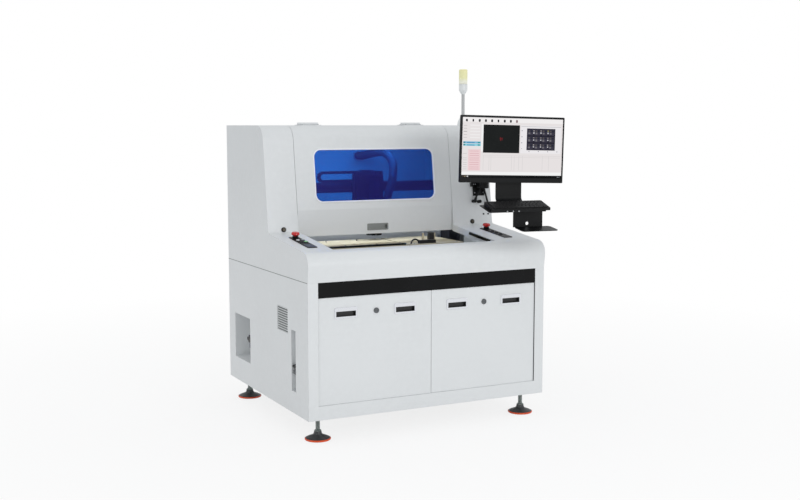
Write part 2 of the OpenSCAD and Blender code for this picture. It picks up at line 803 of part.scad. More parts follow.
// The head plate with its spindle clamp, spindle motor and camera
module spindle_head() {
  plate_z = beam_z - 85;
  plate_top = beam_z + beam_h + 40;
  clamp_z = spindle_z + 60;
  color(dark) placed() {
    difference() {
      union() {
        block([spindle_x - 75, head_y, plate_z], [spindle_x + 75, carriage_y - slide_gap, plate_top]);
        block([spindle_x - 48, spindle_y - 44, clamp_z],
          [spindle_x + outlet_x - hose_r - 2, head_y + 1, clamp_z + 75]);
        block([spindle_x + camera_x - 16, spindle_y - 10, plate_z], [spindle_x - 47, spindle_y + 10, plate_z + 30]);
      }
      for (x = [-rail_at, rail_at])
        block([spindle_x + x - rail_w / 2 - slide_gap, carriage_y - 8 - slide_gap, plate_z - 1],
          [spindle_x + x + rail_w / 2 + slide_gap, carriage_y, plate_top + 1]);
      translate([spindle_x, spindle_y, clamp_z - 1]) cylinder(r = spindle_r + run_gap, h = 77);
      block([spindle_x - 1.5, spindle_y - 45, clamp_z - 1], [spindle_x + 1.5, spindle_y, clamp_z + 76]);
    }
    translate([spindle_x, spindle_y, 0]) difference() {
      union() {
        translate([0, 0, spindle_z]) cylinder(r = spindle_r, h = 230);
        translate([0, 0, spindle_z + 230]) cylinder(r = spindle_r - 6, h = 22);
      }
      translate([0, 0, spindle_z - 1]) cylinder(r = 6 + run_gap, h = 41);
    }
    translate([spindle_x + camera_x, spindle_y, 0]) {
      translate([0, 0, plate_z - 60]) cylinder(r = 16, h = 60);
      translate([0, 0, plate_z - 85]) cylinder(r = 12, h = 25);
    }
  }
}

module dust_brush() {
  color([0.05, 0.05, 0.05]) placed() translate([spindle_x, spindle_y, 0]) {
    difference() {
      union() {
        translate([0, 0, spindle_z - 12]) cylinder(r = spindle_r + 13, h = 26);
        translate([outlet_x, 0, spindle_z - 12]) cylinder(r = hose_r, h = 26);
      }
      translate([0, 0, spindle_z]) cylinder(r = spindle_r + run_gap, h = 30);
      translate([0, 0, spindle_z - 13]) cylinder(r = 15, h = 20);
      translate([outlet_x, 0, spindle_z - 13]) cylinder(r = hose_r - 5, h = 40);
    }
    translate([0, 0, brush_z]) difference() {
      cylinder(r = spindle_r + 11, h = spindle_z - 12 - joint_gap - brush_z);
      translate([0, 0, -1]) cylinder(r = spindle_r + 4, h = spindle_z - 10 - brush_z);
    }
  }
}

module cutter() {
  color(steel) placed() translate([spindle_x, spindle_y, 0]) rotate_extrude()
    polygon([[0, 866], [1.2, 866], [1.2, 876], [3, 879], [5, 880], [9, 884], [11, 884], [11, 894],
      [8, spindle_z - slide_gap], [6, spindle_z - slide_gap], [6, spindle_z + 38], [0, spindle_z + 38]]);
}

// A sliding table: runners on its two rails, webs and a top plate
module table_body(mid, width, span) {
  low = bed_z + 1;
  top = fixture_z - fixture_t;
  inset = 12;
  color(dark) placed() difference() {
    union() {
      block([mid - span - 26, table_y + 20, low], [mid + span + 26, table_y + table_l - 20, low + 26]);
      for (x = [-span - 22, span + 10])
        block([mid + x, table_y + 20, low + 25], [mid + x + 12, table_y + table_l - 20, top - 14]);
      block([mid - width / 2 + inset, table_y + inset, top - 15],
        [mid + width / 2 - inset, table_y + table_l - inset, top]);
    }
    for (x = [-span, span])
      block([mid + x - rail_w / 2 - slide_gap, table_y, low - 1],
        [mid + x + rail_w / 2 + slide_gap, table_y + table_l, bed_z + rail_h + slide_gap]);
    rod_x(table_y + table_l / 2, (low + top) / 2 + 6, mid - span - 30, mid + span + 30, 24);
    table_holes(mid, width, top - 16, 17);
  }
}

pin_in = 60;
pin_r = 3;
pin_h = 7;
arch_r = 22;
stop_z = fixture_z + 45;
hole_span_x = 60;
hole_span_y = 300;
fixture_hole_r = 2.75;

// Four screw holes, on a rectangle inset from the plate's edges
module table_holes(mid, width, z, h) {
  for (x = [-1, 1], y = [-1, 1])
    translate([mid + x * (width / 2 - hole_span_x / 2), table_y + table_l / 2 + y * hole_span_y / 2, z])
      cylinder(r = fixture_hole_r, h = h);
}

module fixture_plate(mid, width) {
  difference() {
    along_plate(mid, width);
    table_holes(mid, width, fixture_z - fixture_t - 1, fixture_t + 2);
  }
}

module along_plate(mid, width) {
  translate([0, 0, fixture_z - fixture_t]) linear_extrude(fixture_t)
    polygon(round_rect(mid - width / 2, table_y, width, table_l, 6, 4));
}

module left_table() { table_body(left_mid, left_table_w, left_span); }
module right_table() { table_body(right_mid, right_table_w, right_span); }

module left_fixture() {
  color([0.76, 0.72, 0.61]) placed() {
    fixture_plate(left_mid, left_table_w);
    for (x = [0.1, 0.38, 0.71], y = [pin_in, table_l - pin_in])
      translate([left_table_x + x * left_table_w, table_y + y, fixture_z]) cylinder(r = pin_r, h = pin_h);
  }
}

// The right fixture carries a toggle clamp on its front edge and a board stop between two spacers
module right_fixture() {
  clamp_x = right_table_x + 12;
  clamp_y = table_y + 18;
  stop_x = right_mid + 2;
  stop_y = table_y + 96;
  color([0.76, 0.72, 0.61]) placed() {
    fixture_plate(right_mid, right_table_w);
    block([clamp_x + 2 * arch_r, clamp_y, fixture_z], [clamp_x + 2 * arch_r + 90, clamp_y + 24, fixture_z + 17]);
    translate([clamp_x + arch_r, clamp_y + 12, fixture_z]) rotate([90, 0, 0]) rotate_extrude(angle = 180)
      translate([arch_r, 0]) circle(r = 4);
    block([stop_x, stop_y, fixture_z], [stop_x + 26, stop_y + 26, stop_z]);
    for (x = [-36, 28]) block([stop_x + x, stop_y + 8, fixture_z], [stop_x + x + 9, stop_y + 17, stop_z - 2]);
  }
}

// ---- cable chain and dust hose -----------------------------------------------------------

chain_t = 14;
chain_r = (carriage_rise - 2 - chain_t) / 2;
chain_w = 26;
chain_pitch = 18;

// Path of the chain: along the beam's top, round the bend and back to the carriage, by length s
chain_run = 250;
chain_bend_x = spindle_x + 20 - chain_run;
chain_z = beam_z + beam_h + 2 + chain_t / 2;
function chain_at(s) =
  s < chain_run ? [[chain_bend_x + chain_run - s, chain_z], [0, -1]]
  : s < chain_run + PI * chain_r
    ? let (a = -90 - (s - chain_run) / (PI * chain_r) * 180)
      [[chain_bend_x + chain_r * cos(a), chain_z + chain_r + chain_r * sin(a)], [cos(a), sin(a)]]
    : [[chain_bend_x + s - chain_run - PI * chain_r, chain_z + 2 * chain_r], [0, 1]];

chain_len = 2 * chain_run + PI * chain_r;
chain_links = floor(chain_len / chain_pitch);

// Notched outline: every link stands a little proud of the joint next to it
module cable_chain() {
  pitch = chain_len / chain_links;
  outer = [for (i = [0:chain_links - 1]) for (k = [[0, 0.5], [0.12, 1], [0.88, 1], [0.99, 0.5]])
    let (at = chain_at((i + k[0]) * pitch)) at[0] + at[1] * chain_t / 2 * k[1]];
  inner = [for (i = [chain_links - 1:-1:0]) for (k = [[0.99, 0.7], [0.88, 1], [0.12, 1], [0, 0.7]])
    let (at = chain_at((i + k[0]) * pitch)) at[0] - at[1] * chain_t / 2 * k[1]];
  color([0.06, 0.06, 0.07]) placed() {
    along_y(beam_y + 12, beam_y + 12 + chain_w) polygon(concat(outer, inner));
    block([-post_x + 30, beam_y + 8, beam_z + beam_h], [spindle_x + 60, beam_y + 16 + chain_w, beam_z + beam_h + 2]);
  }
}

// Route of the hose's middle, from the brush head up and back to the port in the rear hatch
hose_r = 22;
hose_start = [spindle_x + outlet_x, spindle_y, spindle_z + 14 + seat_gap];
hose_end = [port_x, cabinet_d - 12 - seat_gap, port_z];
hose_route = [hose_start, hose_start + [0, 0, 60], hose_start + [18, -2, 150], hose_start + [48, 4, 236],
  hose_start + [69, 48, 322], hose_start + [69, 136, 368], hose_end + [14, -184, 18], hose_end + [0, -70, 0],
  hose_end];

// Point on a smooth curve through the route, at t from 0 to 1
function hose_at(t) =
  let (n = len(hose_route) - 1, i = min(floor(t * n), n - 1), f = t * n - i)
  let (p0 = hose_route[max(i - 1, 0)], p1 = hose_route[i], p2 = hose_route[i + 1], p3 = hose_route[min(i + 2, n)])
  0.5 * (2 * p1 + (p2 - p0) * f + (2 * p0 - 5 * p1 + 4 * p2 - p3) * f * f + (3 * p1 - p0 - 3 * p2 + p3) * f * f * f);

// Direction of the hose at t, square to its seats at both ends
function hose_direction(t, step) =
  let (last = len(hose_route) - 1)
  unit(t == 0 ? hose_route[1] - hose_route[0] :
    t == 1 ? hose_route[last] - hose_route[last - 1] : hose_at(t + step) - hose_at(t - step));

module dust_hose() {
  rings = 72;
  sides = 12;
  frames = [for (i = [0:rings])
    let (p = hose_at(i / rings), d = hose_direction(i / rings, 0.5 / rings))
    let (u = unit(cross([1, 0, 0], d)), v = cross(d, u), r = hose_r * (i % 2 == 0 ? 1 : 0.9))
    [for (k = [0:sides - 1]) p + r * (u * cos(360 * k / sides) + v * sin(360 * k / sides))]];
  points = [for (ring = frames) for (p = ring) p];
  walls = [for (i = [0:rings - 1]) for (k = [0:sides - 1])
    [i * sides + k, i * sides + (k + 1) % sides, (i + 1) * sides + (k + 1) % sides, (i + 1) * sides + k]];
  first = [for (k = [sides - 1:-1:0]) k];
  last = [for (k = [0:sides - 1]) rings * sides + k];
  color([0.25, 0.26, 0.28]) placed() polyhedron(points, concat([first, last], walls), convexity = 4);
}

// ---- air service unit ------------------------------------------------------------------

air_x = -half_w + 46;
air_y = 832;
air_z = 322;
inlet_y = air_y + 32.5;
inlet_r = 5.6;
inlet_l = 15;

module air_regulator() {
  wall = -inner_w + service_t - 1.5;
  color(dark) placed() {
    difference() {
      union() {
        block([air_x - 20, air_y - 20, air_z], [air_x + 20, air_y + 20, air_z + 34]);
        block([air_x + 19, air_y - 12, air_z + 8], [wall, air_y + 12, air_z + 26]);
        translate([air_x, air_y, air_z - 26]) cylinder(r1 = 13, r2 = 17, h = 26);
        rod_y(air_x, air_z + 17, air_y - 34, air_y - 19, 9);
        block([air_x - 14, air_y + 19, air_z + 2], [air_x + 14, air_y + 46, air_z + 32]);
        rod_x(inlet_y, air_z + 17, air_x - 24, air_x - 13, 10);
      }
      rod_x(inlet_y, air_z + 17, air_x - 25, air_x - 24 + inlet_l, inlet_r);
      translate([air_x, air_y, air_z + 20]) cylinder(r = 6 + run_gap, h = 20);
    }
    rod_x(air_y, air_z + 17, air_x - 29, air_x - 20, 15);
    translate([air_x, air_y + 4, service_z]) cylinder(r = 8, h = 22);
  }
}

module regulator_knob() {
  color([0.04, 0.04, 0.05]) placed() translate([air_x, air_y, 0]) rotate_extrude()
    polygon([[0, air_z + 24], [6, air_z + 24], [6, air_z + 34 + seat_gap], [16, air_z + 34 + seat_gap],
      [16, air_z + 56], [14, air_z + 62], [0, air_z + 62]]);
}

// ---- signal tower ----------------------------------------------------------------------

module signal_tower() {
  pole_top = roof_z + tower_h - lens_h - 44;
  color([0.92, 0.92, 0.92]) placed() translate([tower_x, tower_y, 0]) {
    rotate_extrude() polygon(concat([[0, roof_z], [31, roof_z]],
      fillet([31, roof_z], [27, roof_z + 22], [11, roof_z + 50], 40), [[10, roof_z + 50], [0, roof_z + 50]]));
    translate([0, 0, roof_z + 50]) cylinder(r = 8.5, h = pole_top - roof_z - 60);
    rotate_extrude() polygon([[0, pole_top - 10], [10, pole_top - 10], [lens_r - 3, pole_top + 6],
      [lens_r, pole_top + 12], [lens_r, pole_top + 43], [lens_r - 1, pole_top + 44], [0, pole_top + 44]]);
  }
}

module tower_lens() {
  z = roof_z + tower_h - lens_h;
  color([0.95, 0.92, 0.62]) placed() translate([tower_x, tower_y, z]) rotate_extrude()
    polygon(concat([[0, 0], [lens_r, 0]], fillet([lens_r, 0], [lens_r - 1, lens_h], [0, lens_h], 6), [[0, lens_h]]));
}

// ---- controls --------------------------------------------------------------------------

// Places along a control plate, from its rear end
estop_run = deck_run(plate_y + plate_l) - 28;
button_run = estop_run - 62;
button_pitch = 38;
button_pair = 12;
collar_h = 10;

module control_plate(x, buttons) {
  front = deck_run(plate_y);
  length = deck_run(plate_y + plate_l) - front;
  on_deck() difference() {
    union() {
      linear_extrude(plate_t) polygon(round_rect(x - plate_w / 2, front, plate_w, length, 5, 4));
      translate([x, estop_run, plate_t - 1]) cylinder(r = 14, h = collar_h + 1);
    }
    translate([x, estop_run, -1]) cylinder(r = 6 + slide_gap, h = plate_t + collar_h + 2);
    for (p = buttons) translate([x + p[0], p[1], -1]) cylinder(r = cap_r + slide_gap, h = plate_t + 2);
  }
}

left_buttons = [for (i = [0, 1]) for (side = [-1, 1]) [side * button_pair, button_run - i * button_pitch]];
right_buttons = [for (i = [0:2]) [0, button_run - i * button_pitch]];

module control_plates() {
  color(dark) placed() {
    control_plate(left_plate_x, left_buttons);
    control_plate(right_plate_x, right_buttons);
    for (x = [start_left_x, start_right_x]) on_face() difference() {
      rod_y(x, face_run(start_z), -3, 0, cap_r + 4);
      rod_y(x, face_run(start_z), -4, 1, cap_r + slide_gap);
    }
  }
}

module estop(x) {
  low = plate_t + collar_h + estop_travel + slide_gap;
  color([0.75, 0.06, 0.06]) placed() on_deck() translate([x, estop_run, 0]) rotate_extrude()
    polygon(concat([[0, -1], [6, -1], [6, low], [estop_r - 4, low], [estop_r, low + 4]],
      fillet([estop_r, low + 4], [estop_r - 3, low + 14], [0, low + 16], 6), [[0, low + 16]]));
}

module left_estop() { estop(left_plate_x); }
module right_estop() { estop(right_plate_x); }

module deck_button(x, p, tint) {
  color(tint) placed() on_deck() translate([x + p[0], p[1], 0]) rotate_extrude()
    polygon([[0, -1], [cap_r, -1], [cap_r, plate_t + 4.4], [cap_r - 0.8, plate_t + 5.2], [0, plate_t + 5.2]]);
}

module left_button_1() { deck_button(left_plate_x, left_buttons[0], [0.9, 0.9, 0.9]); }
module left_button_2() { deck_button(left_plate_x, left_buttons[1], [0.55, 0.57, 0.58]); }
module left_button_3() { deck_button(left_plate_x, left_buttons[2], [0.05, 0.05, 0.05]); }
module left_button_4() { deck_button(left_plate_x, left_buttons[3], [0.1, 0.6, 0.3]); }
module right_button_1() { deck_button(right_plate_x, right_buttons[0], [0.05, 0.05, 0.05]); }
module right_button_2() { deck_button(right_plate_x, right_buttons[1], [0.05, 0.05, 0.05]); }
module right_button_3() { deck_button(right_plate_x, right_buttons[2], [0.05, 0.05, 0.05]); }

module start_button(x) {
  color(steel) placed() on_face() translate([x, 0, face_run(start_z)]) rotate([90, 0, 0]) rotate_extrude()
    polygon([[0, -1], [cap_r, -1], [cap_r, 6], [cap_r - 0.8, 6.8], [0, 6.8]]);
}

module left_start_button() { start_button(start_left_x); }
module right_start_button() { start_button(start_right_x); }

curtain_y = 118;
curtain_l = 198;

// Light curtain bars on the well's two side rims
module light_curtains() {
  front = deck_run(curtain_y);
  rear = deck_run(curtain_y + curtain_l);
  bar_t = 6;
  color([0.02, 0.02, 0.02]) placed() on_deck() {
    block([opening_right - bar_t, front, -17], [opening_right, rear, -4]);
    block([opening_left, front, -17], [opening_left + bar_t, rear, -4]);
  }
}

// ---- monitor arm -----------------------------------------------------------------------

link_1_z = arm_z + seat_gap;
link_2_z = link_1_z + link_h + seat_gap;
neck_z = link_2_z + link_h + seat_gap;

lead_r = 5;
plug_a = [arm_x - 35, arm_z - 98];
plug_b = [arm_x + 47, arm_z - 124];

// A plug on the column's face at p and the lead from it up to the place q under the crossbar
module lead(p, q) {
  from = [p[0], face_run(p[1])];
  to = [q[0], face_run(q[1])];
  out = 18;
  on_face() {
    rod_y(from[0], from[1], -out - lead_r - 2, 0, 9);
    translate([from[0], -out, from[1]]) rotate([0, atan2(to[0] - from[0], to[1] - from[1]), 0])
      cylinder(r = lead_r, h = norm(to - from));
    translate([from[0], -out, from[1]]) rotate([0, atan2(to[0] - from[0], to[1] - from[1]), 0])
      cylinder(r = 7, h = 20);
  }
}

// Wall bracket on the right column, with the first pivot pin, a crossbar and two short leads
module arm_bracket() {
  plate_half = 33;
  bar_half = 49;
  low = face_run(arm_z - 70);
  high = face_run(arm_z + 60);
  color(dark) placed() {
    on_face() block([arm_x - plate_half, -6, low], [arm_x + plate_half, 0, high]);
    on_face() block([arm_x - bar_half, -26, face_run(arm_z - 23)], [arm_x + bar_half, -5, face_run(arm_z - 3)]);
    difference() {
      block([arm_x - 20, arm_y, arm_z - 28], [arm_x + 20, face_y + 60, arm_z]);
      on_face() block([arm_x - 60, -3, low - 50], [arm_x + 60, 100, high + 50]);
    }
    translate([arm_x, arm_y, arm_z - 28]) cylinder(r = hub_r, h = 28);
    translate([arm_x, arm_y, arm_z - 1]) cylinder(r = pivot_r, h = link_h + 1);
    lead(plug_a, [arm_x + 8, arm_z - 18]);
    lead(plug_b, [arm_x + 22, arm_z - 18]);
    on_face() rod_y(arm_x - 3, face_run(arm_z - 101), -22, 0, 8.5);
    on_face() for (x = [24, 52]) rod_y(arm_x + x, face_run(arm_z - 166), -2.5, 0, 4.5);
  }
}

// An arm link from the pivot p at the angle a: bored at its start, with a pin up at its end
module arm_link(p, a, z) {
  color(dark) placed() translate([p[0], p[1], z]) rotate([0, 0, a]) difference() {
    union() {
      cylinder(r = hub_r, h = link_h);
      translate([0, -16, 3]) cube([link_l, 32, link_h - 6]);
      translate([link_l, 0, 0]) cylinder(r = hub_r, h = link_h);
      translate([link_l, 0, link_h - 1]) cylinder(r = pivot_r, h = link_h + 1);
    }
    translate([0, 0, -1]) cylinder(r = pivot_r + run_gap, h = link_h + 2);
  }
}

module arm_link_1() { arm_link([arm_x, arm_y], link_1_angle, link_1_z); }
module arm_link_2() { arm_link(elbow, link_2_angle, link_2_z); }

neck_y = -33;
neck_t = 5;
tilt_y = -42;
tilt_pin_r = 4;
tilt_half = 25;
tray_half = 40;
tray_pin_r = 5;

// Bent plate that hangs from the arm's last pivot and carries the monitor and the tray
module monitor_neck() {
  bend = 28;
  plate = concat([[neck_y + neck_t, monitor_z + 30], [neck_y, monitor_z + 30]],
    fillet([neck_y, monitor_z], [neck_y, tray_z + neck_t / 2], [tray_hinge_y, tray_z + neck_t / 2], bend - neck_t),
    [[tray_hinge_y, tray_z + neck_t / 2], [tray_hinge_y, tray_z - neck_t / 2]],
    fillet([tray_hinge_y, tray_z - neck_t / 2], [neck_y + neck_t, tray_z - neck_t / 2], [neck_y + neck_t, monitor_z], bend));
  color(dark) placed() at_head() difference() {
    union() {
      difference() {
        along_x(-neck_w / 2, neck_w / 2) polygon(plate);
        block([tray_half + 0.3 - neck_w, tray_hinge_y - 20, tray_z - 40], [-tray_half - 0.3, tray_hinge_y + 14, tray_z + 30]);
        block([tray_half + 0.3, tray_hinge_y - 20, tray_z - 40], [neck_w, tray_hinge_y + 14, tray_z + 30]);
      }
      rod_x(tray_hinge_y, tray_z, -tray_half, tray_half, tray_pin_r + 4);
      translate([0, 0, neck_z]) cylinder(r = hub_r, h = link_h);
      block([-18, neck_y + 1, neck_z], [18, 0, neck_z + link_h]);
      block([-tilt_half, tilt_y, monitor_z - 7], [tilt_half, neck_y + 1, monitor_z + 7]);
      rod_x(tilt_y, monitor_z, -tilt_half, tilt_half, tilt_pin_r + 4);
    }
    translate([0, 0, neck_z - 1]) cylinder(r = pivot_r + run_gap, h = link_h + 2);
    rod_x(tray_hinge_y, tray_z, -tray_half - 1, tray_half + 1, tray_pin_r + run_gap);
    rod_x(tilt_y, monitor_z, -tilt_half - 1, tilt_half + 1, tilt_pin_r + run_gap);
  }
}

case_t = 13;
bulge_t = 11;
bezel = 9;
chin = 30;
screen_t = 1.4;

// Frame at the middle of the monitor's front, with its slight lean
module on_monitor() {
  translate([0, -monitor_reach, monitor_z]) rotate([0, monitor_roll, 0]) children();
}

module monitor_case() {
  back = case_t + bulge_t;
  color(dark) placed() at_head() {
    on_monitor() difference() {
      union() {
        along_y(0, case_t) polygon(round_rect(-monitor_w / 2, -monitor_h / 2, monitor_w, monitor_h, 5, 4));
        along_y(case_t - 1, back) polygon(round_rect(-190, -100, 380, 200, 24));
      }
      block([-monitor_w / 2 + bezel, -1, -monitor_h / 2 + chin], [monitor_w / 2 - bezel, screen_t, monitor_h / 2 - bezel]);
    }
    for (x = [-tilt_half - slide_gap - 8, tilt_half + slide_gap]) {
      block([x, back - monitor_reach - 3, monitor_z - 8], [x + 8, tilt_y, monitor_z + 8]);
      rod_x(tilt_y, monitor_z, x, x + 8, 8.2);
    }
    rod_x(tilt_y, monitor_z, -tilt_half - slide_gap - 1, tilt_half + slide_gap + 1, tilt_pin_r);
  }
}

module monitor_screen() {
  color([0.85, 0.88, 0.9]) placed() at_head() on_monitor()
    block([-monitor_w / 2 + bezel, 0.2, -monitor_h / 2 + chin], [monitor_w / 2 - bezel, screen_t, monitor_h / 2 - bezel]);
}

// Frame on the tray: x along its hinge, -y forward down its slope
module on_tray() {
  translate([0, tray_hinge_y, tray_z]) rotate([tray_slope, 0, 0]) children();
}

tray_t = 3;
tray_top = -tray_pin_r - 6;

module keyboard_tray() {
  ear = 10;
  lip = 12;
  color(dark) placed() at_head() on_tray() {
    difference() {
      union() {
        translate([0, 0, tray_top - tray_t]) linear_extrude(tray_t)
          polygon(round_rect(tray_left, -tray_d, tray_right - tray_left, tray_d, 8, 4));
        block([tray_left + 8, -tray_d, tray_top - 1], [tray_right - 8, -tray_d + 3, tray_top + lip]);
        for (x = [-tray_half - slide_gap - ear, tray_half + slide_gap])
          block([x, -9, tray_top - 1], [x + ear, 9, tray_pin_r + 4]);
      }
      rod_x(0, 0, -tray_half - 30, tray_half + 30, tray_pin_r);
    }
    rod_x(0, 0, -tray_half - slide_gap - ear, tray_half + slide_gap + ear, tray_pin_r);
  }
}

keyboard_left = -147;
keyboard_w = 298;
keyboard_d = 104;
keyboard_h = 16;

module keyboard() {
  rows = 5;
  columns = 15;
  pitch_x = (keyboard_w - 16) / columns;
  pitch_y = (keyboard_d - 14) / rows;
  color([0.07, 0.07, 0.08]) placed() at_head() on_tray()
    translate([keyboard_left, -tray_d + 5, tray_top]) {
      along_x(0, keyboard_w)
        polygon([[0, 0], [keyboard_d, 0], [keyboard_d, keyboard_h + 4], [keyboard_d - 6, keyboard_h + 4], [0, keyboard_h - 4]]);
      slope = atan(8 / (keyboard_d - 6));
      translate([8, 0, keyboard_h - 4]) rotate([slope, 0, 0]) for (row = [0:rows - 1])
        translate([0, 6 + row * pitch_y, -0.5]) {
          if (row == 0) {
            block([0, 0, 0], [3 * pitch_x - 2, pitch_y - 3, 3]);
            block([3 * pitch_x, 0, 0], [10 * pitch_x - 2, pitch_y - 3, 3]);
            block([10 * pitch_x, 0, 0], [15 * pitch_x - 2, pitch_y - 3, 3]);
          } else {
            block([0, 0, 0], [columns * pitch_x - 2, pitch_y - 3, 3]);
          }
        }
    }
}

shelf_w = 190;
shelf_d = 100;
shelf_x = 8;

// Bracket plate under the tray with the mouse shelf bent out of its lower edge
module mouse_shelf() {
  top = tray_top - tray_t;
  plate_x = 3;
  plate_h = 100;
  hole = [76, -84];
  flange = 14;
  shelf_t = 3;
  c = cos(tray_slope);
  s = sin(tray_slope);
  color(dark) placed() at_head() on_tray() translate([0, -22, top]) rotate([-tray_slope, 0, 0]) difference() {
    union() {
      along_x(plate_x, plate_x + 155) polygon([[0, 0], [-flange * c, -flange * s],
        [-flange * c + shelf_t * s, -flange * s - shelf_t * c],
        [-shelf_t, -shelf_t * c - shelf_t * (1 + s) * s / c], [-shelf_t, -plate_h - shelf_t / 2],
        [0, -plate_h - shelf_t / 2]]);
      translate([0, 0, -plate_h]) rotate([7, 0, 0]) translate([0, 0, -shelf_t]) linear_extrude(shelf_t)
        polygon(round_rect(shelf_x, -shelf_d, shelf_w, shelf_d + 1, 18, 5));
    }
    rod_y(hole[0], hole[1], -10, 10, 8);
  }
}

base_frame();
cabinet_panels();
front_fascia();
vent_grilles();
side_recesses();
upper_shell();
rear_hatch();
trim_strip();
hinge_brackets();
machine_bed();
gantry_frame();
signal_tower();
tower_lens();
arm_bracket();
control_plates();
light_curtains();
cable_chain();
dust_hose();
air_regulator();
cover_shell();
cover_window();
cover_grip();
x_carriage();
spindle_head();
dust_brush();
cutter();
left_table();
left_fixture();
right_table();
right_fixture();
left_door();
right_door();
left_handles();
right_handles();
left_lock();
right_lock();
arm_link_1();
arm_link_2();
monitor_neck();
monitor_case();
monitor_screen();
keyboard_tray();
keyboard();
mouse_shelf();
regulator_knob();
left_start_button();
right_start_button();
left_estop();
right_estop();
left_button_1();
left_button_2();
left_button_3();
left_button_4();
right_button_1();
right_button_2();
right_button_3();
foot_front_left();
foot_front_right();
foot_rear_left();
foot_rear_right();
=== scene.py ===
# %% [markdown]
# # A circuit-board depaneling machine, dressed for a studio picture
# The machine is a sheet-metal cabinet with a lift-up cover, a routing spindle on a gantry, two sliding tables
# and a monitor on an arm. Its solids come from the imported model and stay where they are. This lesson adds the
# finishes, the small parts that solids are too plain for, the light and the camera.

import bpy
import numpy as np
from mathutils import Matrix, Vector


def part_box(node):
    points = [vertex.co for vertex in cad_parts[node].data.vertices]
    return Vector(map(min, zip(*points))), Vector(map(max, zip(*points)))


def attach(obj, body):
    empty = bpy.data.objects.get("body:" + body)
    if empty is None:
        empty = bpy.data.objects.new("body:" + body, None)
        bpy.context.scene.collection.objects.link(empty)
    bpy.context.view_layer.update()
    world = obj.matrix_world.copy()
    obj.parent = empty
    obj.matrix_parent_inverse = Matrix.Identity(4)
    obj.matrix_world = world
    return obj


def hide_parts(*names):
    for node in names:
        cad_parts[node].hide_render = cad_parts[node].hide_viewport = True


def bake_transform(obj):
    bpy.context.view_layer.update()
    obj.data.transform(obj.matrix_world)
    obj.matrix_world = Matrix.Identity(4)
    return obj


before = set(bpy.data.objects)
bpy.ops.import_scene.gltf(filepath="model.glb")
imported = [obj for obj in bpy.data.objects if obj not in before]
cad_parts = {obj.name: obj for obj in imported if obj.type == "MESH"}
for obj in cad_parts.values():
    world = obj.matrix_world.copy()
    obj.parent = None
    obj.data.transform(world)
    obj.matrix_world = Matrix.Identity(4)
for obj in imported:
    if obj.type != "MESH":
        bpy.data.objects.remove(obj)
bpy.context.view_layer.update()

# %% [markdown]
# ## Places on the machine
# A maker measures from the cabinet: x from its middle, y from its front face and z from the floor. Four
# surfaces are tilted: the control deck, the sloping face of the hood, the monitor and the keyboard tray. One
# small function for each turns its own two directions into the machine's, so a screw on the deck is placed with
# the numbers that a maker would read off the deck.

# %% Frames of reference, in metres
front_corner = np.array(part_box("front_fascia")[0])
HALF_WIDTH = (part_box("front_fascia")[1].x - front_corner[0]) / 2
DECK_SLOPE = np.radians(6.2)
FACE_TILT = np.radians(7.6)
FACE_FOOT = (0.486, 0.914)
MONITOR_TURN = np.radians(-7.0)
MONITOR_ROLL = np.radians(1.4)
TRAY_SLOPE = np.radians(12.0)
PIVOT = (0.426319, 0.042973)


def machine(points):
    """Points measured from the cabinet's middle, front face and floor, moved into the model's frame."""
    start = np.array([front_corner[0] + HALF_WIDTH, front_corner[1], 0.0])
    return np.asarray(points, float) + start


def tilted(points, y, z, angle):
    """Local (x, inward, up) turned by angle about x, with its origin at (y, z):
    y' = y + v cos a - w sin a and z' = z + v sin a + w cos a."""
    p = np.asarray(points, float)
    c, s = np.cos(angle), np.sin(angle)
    return np.stack([p[..., 0], y + p[..., 1] * c - p[..., 2] * s, z + p[..., 1] * s + p[..., 2] * c], -1)


def on_deck(points):
    """Deck frame: x sideways, v from the foot of the face (negative is forward), w off the deck."""
    return machine(tilted(points, *FACE_FOOT, DECK_SLOPE))


def on_face(points):
    """Face frame: x sideways, v into the hood, w up the slope."""
    return machine(tilted(points, *FACE_FOOT, -FACE_TILT))


def at_pivot(points):
    """Arm frame: turned with the monitor about the last pivot."""
    p = np.asarray(points, float)
    c, s = np.cos(MONITOR_TURN), np.sin(MONITOR_TURN)
    return machine(np.stack([PIVOT[0] + p[..., 0] * c - p[..., 1] * s, PIVOT[1] + p[..., 0] * s + p[..., 1] * c,
                             p[..., 2]], -1))


def on_monitor(points):
    """Monitor frame: (x, v, w) from the middle of its front, rolled a little about the view."""
    p = np.asarray(points, float)
    c, s = np.cos(MONITOR_ROLL), np.sin(MONITOR_ROLL)
    return at_pivot(np.stack([p[..., 0] * c + p[..., 2] * s, p[..., 1] - 0.075,
                              1.312 - p[..., 0] * s + p[..., 2] * c], -1))


def on_tray(points):
    """Keyboard tray frame, from the tray's hinge."""
    return at_pivot(tilted(points, -0.060, 1.062, TRAY_SLOPE))


def face_run(z):
    """Distance up the sloping face of a height z."""
    return (z - FACE_FOOT[1]) / np.cos(FACE_TILT)


print("cabinet half width", round(float(HALF_WIDTH), 4))

# %% [markdown]
# ## The camera
# The picture is taken from a standing photographer's height, a little to the left of the machine, with a short
# telephoto lens. It comes first, because it decides which small parts are worth making.

# %% Camera
camera_data = bpy.data.cameras.new("studio_camera")
camera_data.sensor_width = 36.0
camera_data.lens = 51.05
camera = bpy.data.objects.new("studio_camera", camera_data)
camera.location = (-2.5409, -5.0805, 1.4311)
camera.rotation_euler = np.radians([83.68, 0.0, -26.99])
bpy.context.scene.collection.objects.link(camera)
bpy.context.scene.camera = camera
print("camera at", [round(v, 2) for v in camera.location])

# %% [markdown]
# ## Surfaces from arrays
# Every new piece is a surface over two parameters. A grid of points is computed as one array, its faces are the
# cells between neighbouring rows and columns, and a row that closes on itself is joined to its start. Turned
# parts, tubes and keycaps are all made from this one idea.

# %% Mesh helpers


